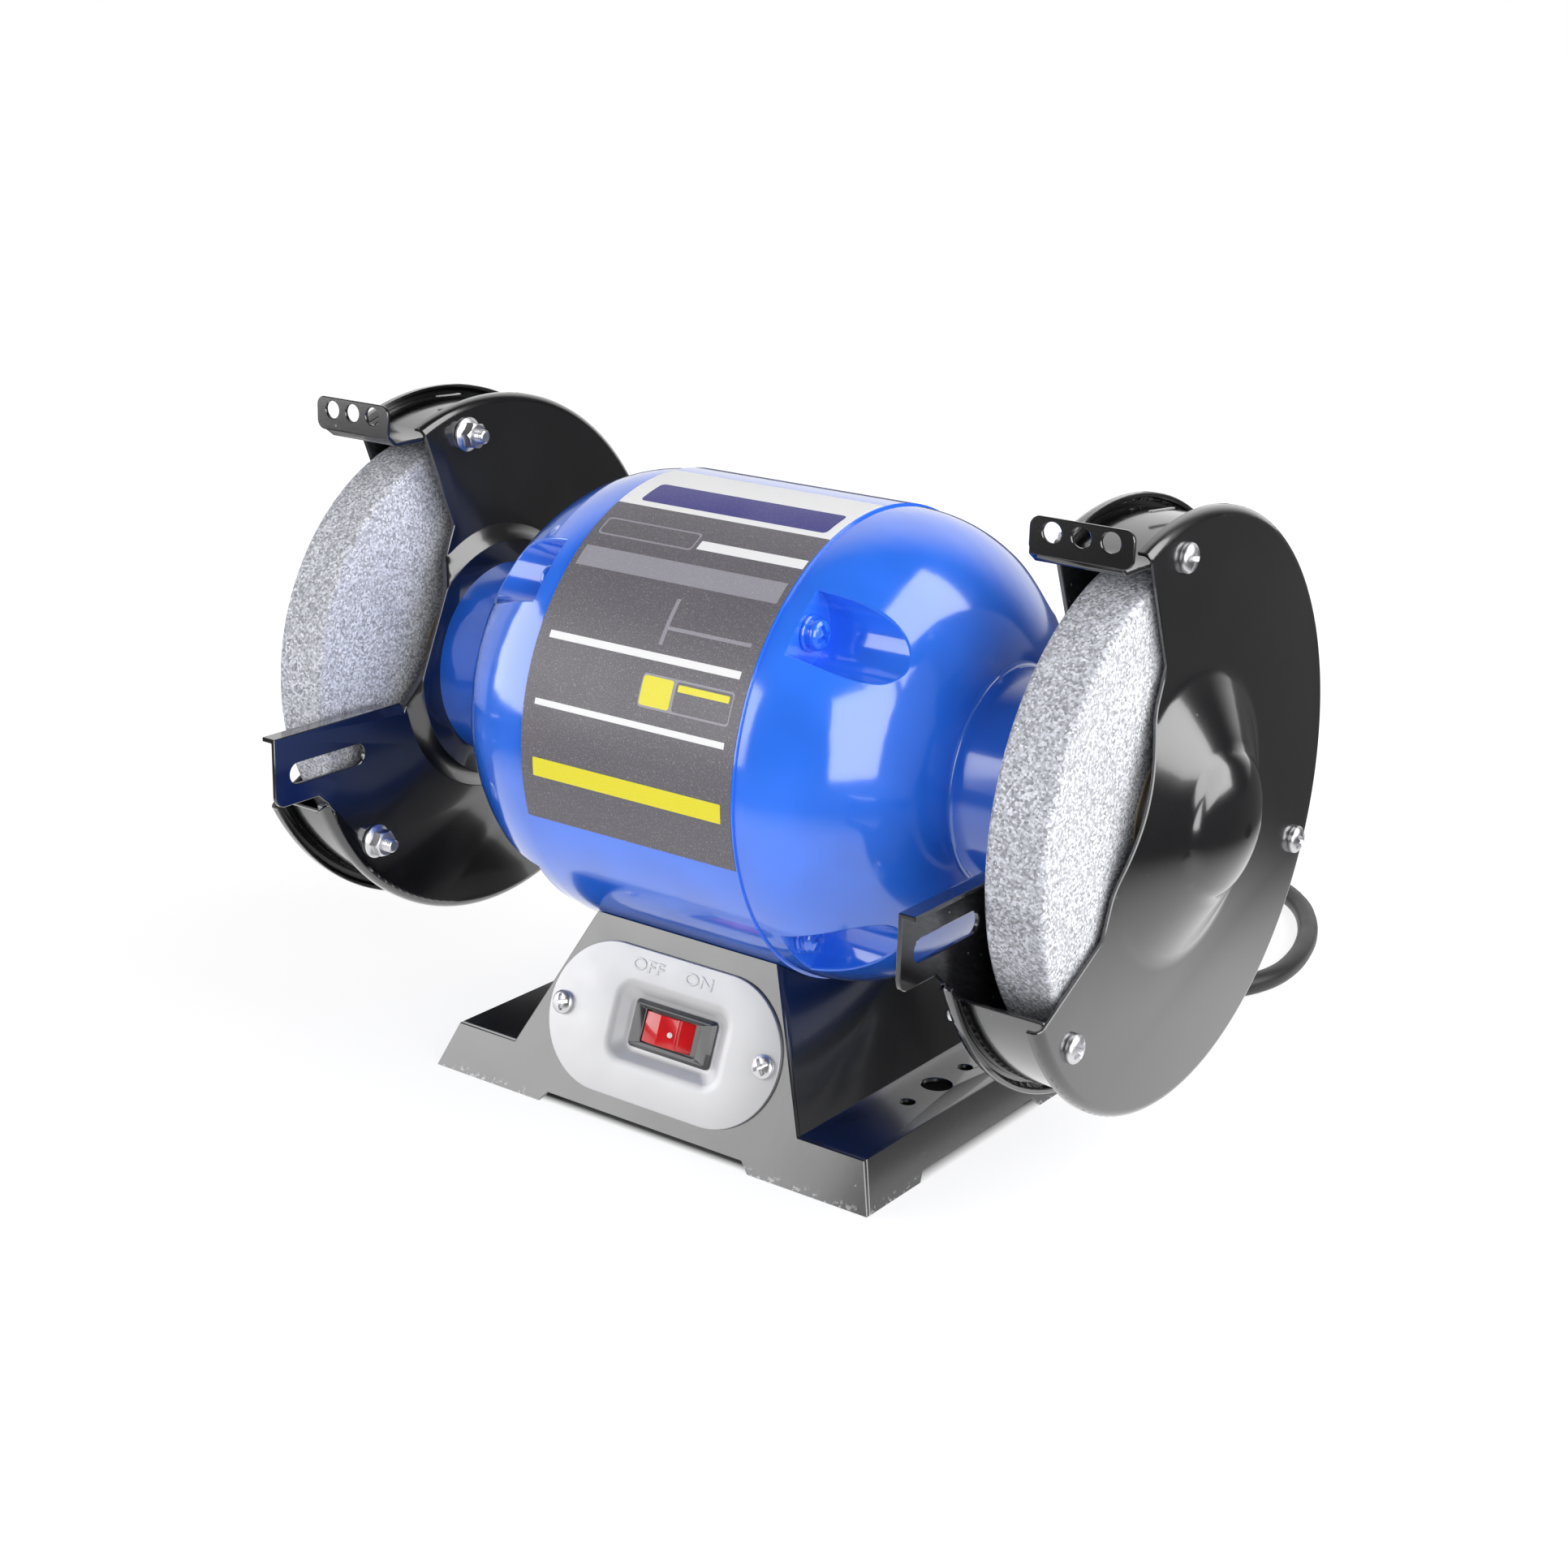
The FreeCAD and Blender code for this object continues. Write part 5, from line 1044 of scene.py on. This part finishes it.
class GRINDER_OT_stage(bpy.types.Operator):
    """Sets the pale floor, the soft lamps and the camera"""
    bl_idname = "grinder.stage"
    bl_label = "Stage"

    def by_ray(self, tree, plain, camera, mirrored):
        """Shows one look to camera rays, one to glossy and transmitted rays, and the plain one to the rest."""
        path = node(tree, "LightPath")
        bounced = maths(tree, "MAXIMUM", path.outputs["Is Glossy Ray"], path.outputs["Is Transmission Ray"])
        last = plain
        for fac, look in ((bounced, mirrored), (path.outputs["Is Camera Ray"], camera)):
            mix = node(tree, "MixShader")
            link(tree, fac, mix.inputs["Fac"])
            link(tree, last, mix.inputs[1])
            link(tree, look, mix.inputs[2])
            last = mix.outputs[0]
        return last

    def glow(self, tree, strength):
        made = node(tree, "Emission", Color=(1, 1, 1, 1))
        link(tree, strength, made.inputs["Strength"])
        return made.outputs[0]

    def floor(self):
        """White floor to the camera that keeps the shadow and shows in polished paint; under the base its glow is
        taken off, a painted shadow.
        """
        mesh = bpy.data.meshes.new("floor")
        bm = bmesh.new()
        bmesh.ops.create_grid(bm, x_segments=1, y_segments=1, size=12)
        bm.to_mesh(mesh)
        bm.free()
        plane = in_scene("floor", mesh)
        plane.location.z = -0.0002
        material, tree, shader = blank_material("floor")
        tree.nodes.remove(shader)
        place, split = own_place(tree), node(tree, "SeparateXYZ")
        link(tree, place, split.inputs[0])
        length = node(tree, "VectorMath", operation="LENGTH")
        link(tree, place, length.inputs[0])
        far = length.outputs["Value"]
        low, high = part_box("base_saddle")
        reach = [
            maths(tree, "DIVIDE",
                  maths(tree, "ABSOLUTE", maths(tree, "SUBTRACT", split.outputs[axis], middle)), half)
            for axis, middle, half in (("X", 0.0, high.x), ("Y", SHAFT.y, (high.y - low.y) / 2))]
        # Zero in a box under the base: there the floor loses its glow to camera and glossy rays, a painted shadow.
        outside_painted_shadow = ranged(tree, maths(tree, "MAXIMUM", *reach), 0.94, 1.0)
        plain = node(tree, "BsdfDiffuse", Color=(0.75, 0.75, 0.75, 1))
        thin = node(tree, "BsdfDiffuse", Color=(0.26, 0.26, 0.27, 1))
        white = maths(tree, "MULTIPLY", ranged(tree, far, 0.15, 0.60, 0.84, 1.0, True), outside_painted_shadow)
        shine = maths(tree, "MULTIPLY", ranged(tree, far, 0.24, 0.46, 1.0, 0.10, True), outside_painted_shadow)
        seen = node(tree, "AddShader")
        link(tree, thin.outputs[0], seen.inputs[0])
        link(tree, self.glow(tree, white), seen.inputs[1])
        link(tree, self.by_ray(tree, plain.outputs[0], seen.outputs[0], self.glow(tree, shine)),
             tree.nodes["Material Output"].inputs["Surface"])
        mesh.materials.append(material)

    def world(self):
        """White to the camera, dim to the rest, and bright behind on the left in polished paint."""
        world = bpy.data.worlds.new("studio")
        bpy.context.scene.world = world
        world.use_nodes = True
        tree = world.node_tree
        plain = tree.nodes["Background"]
        plain.inputs["Color"].default_value = (1, 1, 1, 1)
        plain.inputs["Strength"].default_value = 0.14
        camera = node(tree, "Background", Color=(1, 1, 1, 1), Strength=1.0)
        mirrored = node(tree, "Background", Color=(1, 1, 1, 1))
        towards = node(tree, "VectorMath", operation="DOT_PRODUCT")
        link(tree, node(tree, "TexCoord").outputs["Generated"], towards.inputs[0])
        towards.inputs[1].default_value = (-0.64, 0.76, 0.1)
        bright = ranged(tree, towards.outputs["Value"], 0.40, 0.80, 0.05, 1.0, True)
        link(tree, bright, mirrored.inputs["Strength"])
        link(tree, self.by_ray(tree, plain.outputs[0], camera.outputs[0], mirrored.outputs[0]),
             tree.nodes["World Output"].inputs["Surface"])

    def direction(self, azimuth, elevation):
        """Unit vector away from the grinder: azimuth in degrees from the front, positive to the right."""
        turn, rise = math.radians(azimuth), math.radians(elevation)
        return Vector((math.sin(turn) * math.cos(rise), -math.cos(turn) * math.cos(rise), math.sin(rise)))

    def lamp(self, name, azimuth, elevation, distance, width, height, radiance):
        """Soft box that faces the grinder."""
        out = self.direction(azimuth, elevation)
        data = bpy.data.lights.new(name, "AREA")
        data.shape, data.size, data.size_y = "RECTANGLE", width, height
        data.energy = radiance * math.pi * width * height
        lamp = in_scene(name, data)
        lamp.location = Vector((0, 0.007, 0.11)) + out * distance
        lamp.rotation_mode = "QUATERNION"
        lamp.rotation_quaternion = out.to_track_quat("Z", "Y")

    def camera(self, look):
        back = self.direction(look.azimuth, look.elevation)
        roll = math.radians(look.roll)
        right = back.cross(Vector((0, 0, -1))).normalized()
        up = back.cross(right)
        turned_right = right * math.cos(roll) + up * math.sin(roll)
        turned_up = up * math.cos(roll) - right * math.sin(roll)
        data = bpy.data.cameras.new("camera")
        data.lens, data.sensor_width, data.clip_end = look.lens, 36.0, 50.0
        camera = in_scene("camera", data)
        turn = Matrix((turned_right, turned_up, back)).transposed()
        camera.matrix_world = Matrix.Translation(Vector(look.target) + back * look.distance) @ turn.to_4x4()
        bpy.context.scene.camera = camera

    def execute(self, context):
        self.floor()
        self.world()
        self.lamp("front_left_softbox", -50, 14, distance=1.2, width=1.1, height=0.75, radiance=3.4)
        self.lamp("right_softbox", 55, 15, distance=1.2, width=0.9, height=0.8, radiance=3.9)
        self.lamp("upper_right_softbox", 107, 38, distance=1.25, width=1.05, height=1.35, radiance=3.6)
        self.camera(context.scene.grinder_view)
        context.scene.view_settings.view_transform = "Standard"
        return {"FINISHED"}


class GRINDER_PT_sidebar(bpy.types.Panel):
    """Lists the sizes and colours, and the steps that dress the grinder"""
    bl_idname = "GRINDER_PT_sidebar"
    bl_label = "Bench grinder"
    bl_space_type = "VIEW_3D"
    bl_region_type = "UI"
    bl_category = "Grinder"

    def draw(self, context):
        for name in GROUPS:
            column = self.layout.column()
            group = getattr(context.scene, name)
            for label in group.__annotations__:
                column.prop(group, label)
        for operator in OPERATORS:
            self.layout.operator(operator.bl_idname)


GROUPS = {"grinder_paint": GrinderPaint, "grinder_sticker": GrinderSticker, "grinder_switch": GrinderSwitch,
          "grinder_cord": GrinderCord, "grinder_view": GrinderView}
OPERATORS = (GRINDER_OT_finishes, GRINDER_OT_cord, GRINDER_OT_sheets, GRINDER_OT_guard_screws,
             GRINDER_OT_bell_screws, GRINDER_OT_switch_plate, GRINDER_OT_switch, GRINDER_OT_sticker,
             GRINDER_OT_stage)


def register():
    for name, group in GROUPS.items():
        bpy.utils.register_class(group)
        setattr(bpy.types.Scene, name, PointerProperty(type=group))
    for kind in OPERATORS + (GRINDER_PT_sidebar,):
        bpy.utils.register_class(kind)


def unregister():
    for kind in (GRINDER_PT_sidebar,) + OPERATORS[::-1]:
        bpy.utils.unregister_class(kind)
    for name, group in GROUPS.items():
        delattr(bpy.types.Scene, name)
        bpy.utils.unregister_class(group)


def main():
    register()
    bpy.ops.grinder.finishes()
    bpy.ops.grinder.cord()
    bpy.ops.grinder.sheets()
    bpy.ops.grinder.guard_screws()
    bpy.ops.grinder.bell_screws()
    bpy.ops.grinder.switch_plate()
    bpy.ops.grinder.switch()
    bpy.ops.grinder.sticker()
    bpy.ops.grinder.stage()


if __name__ == "__main__":
    main()
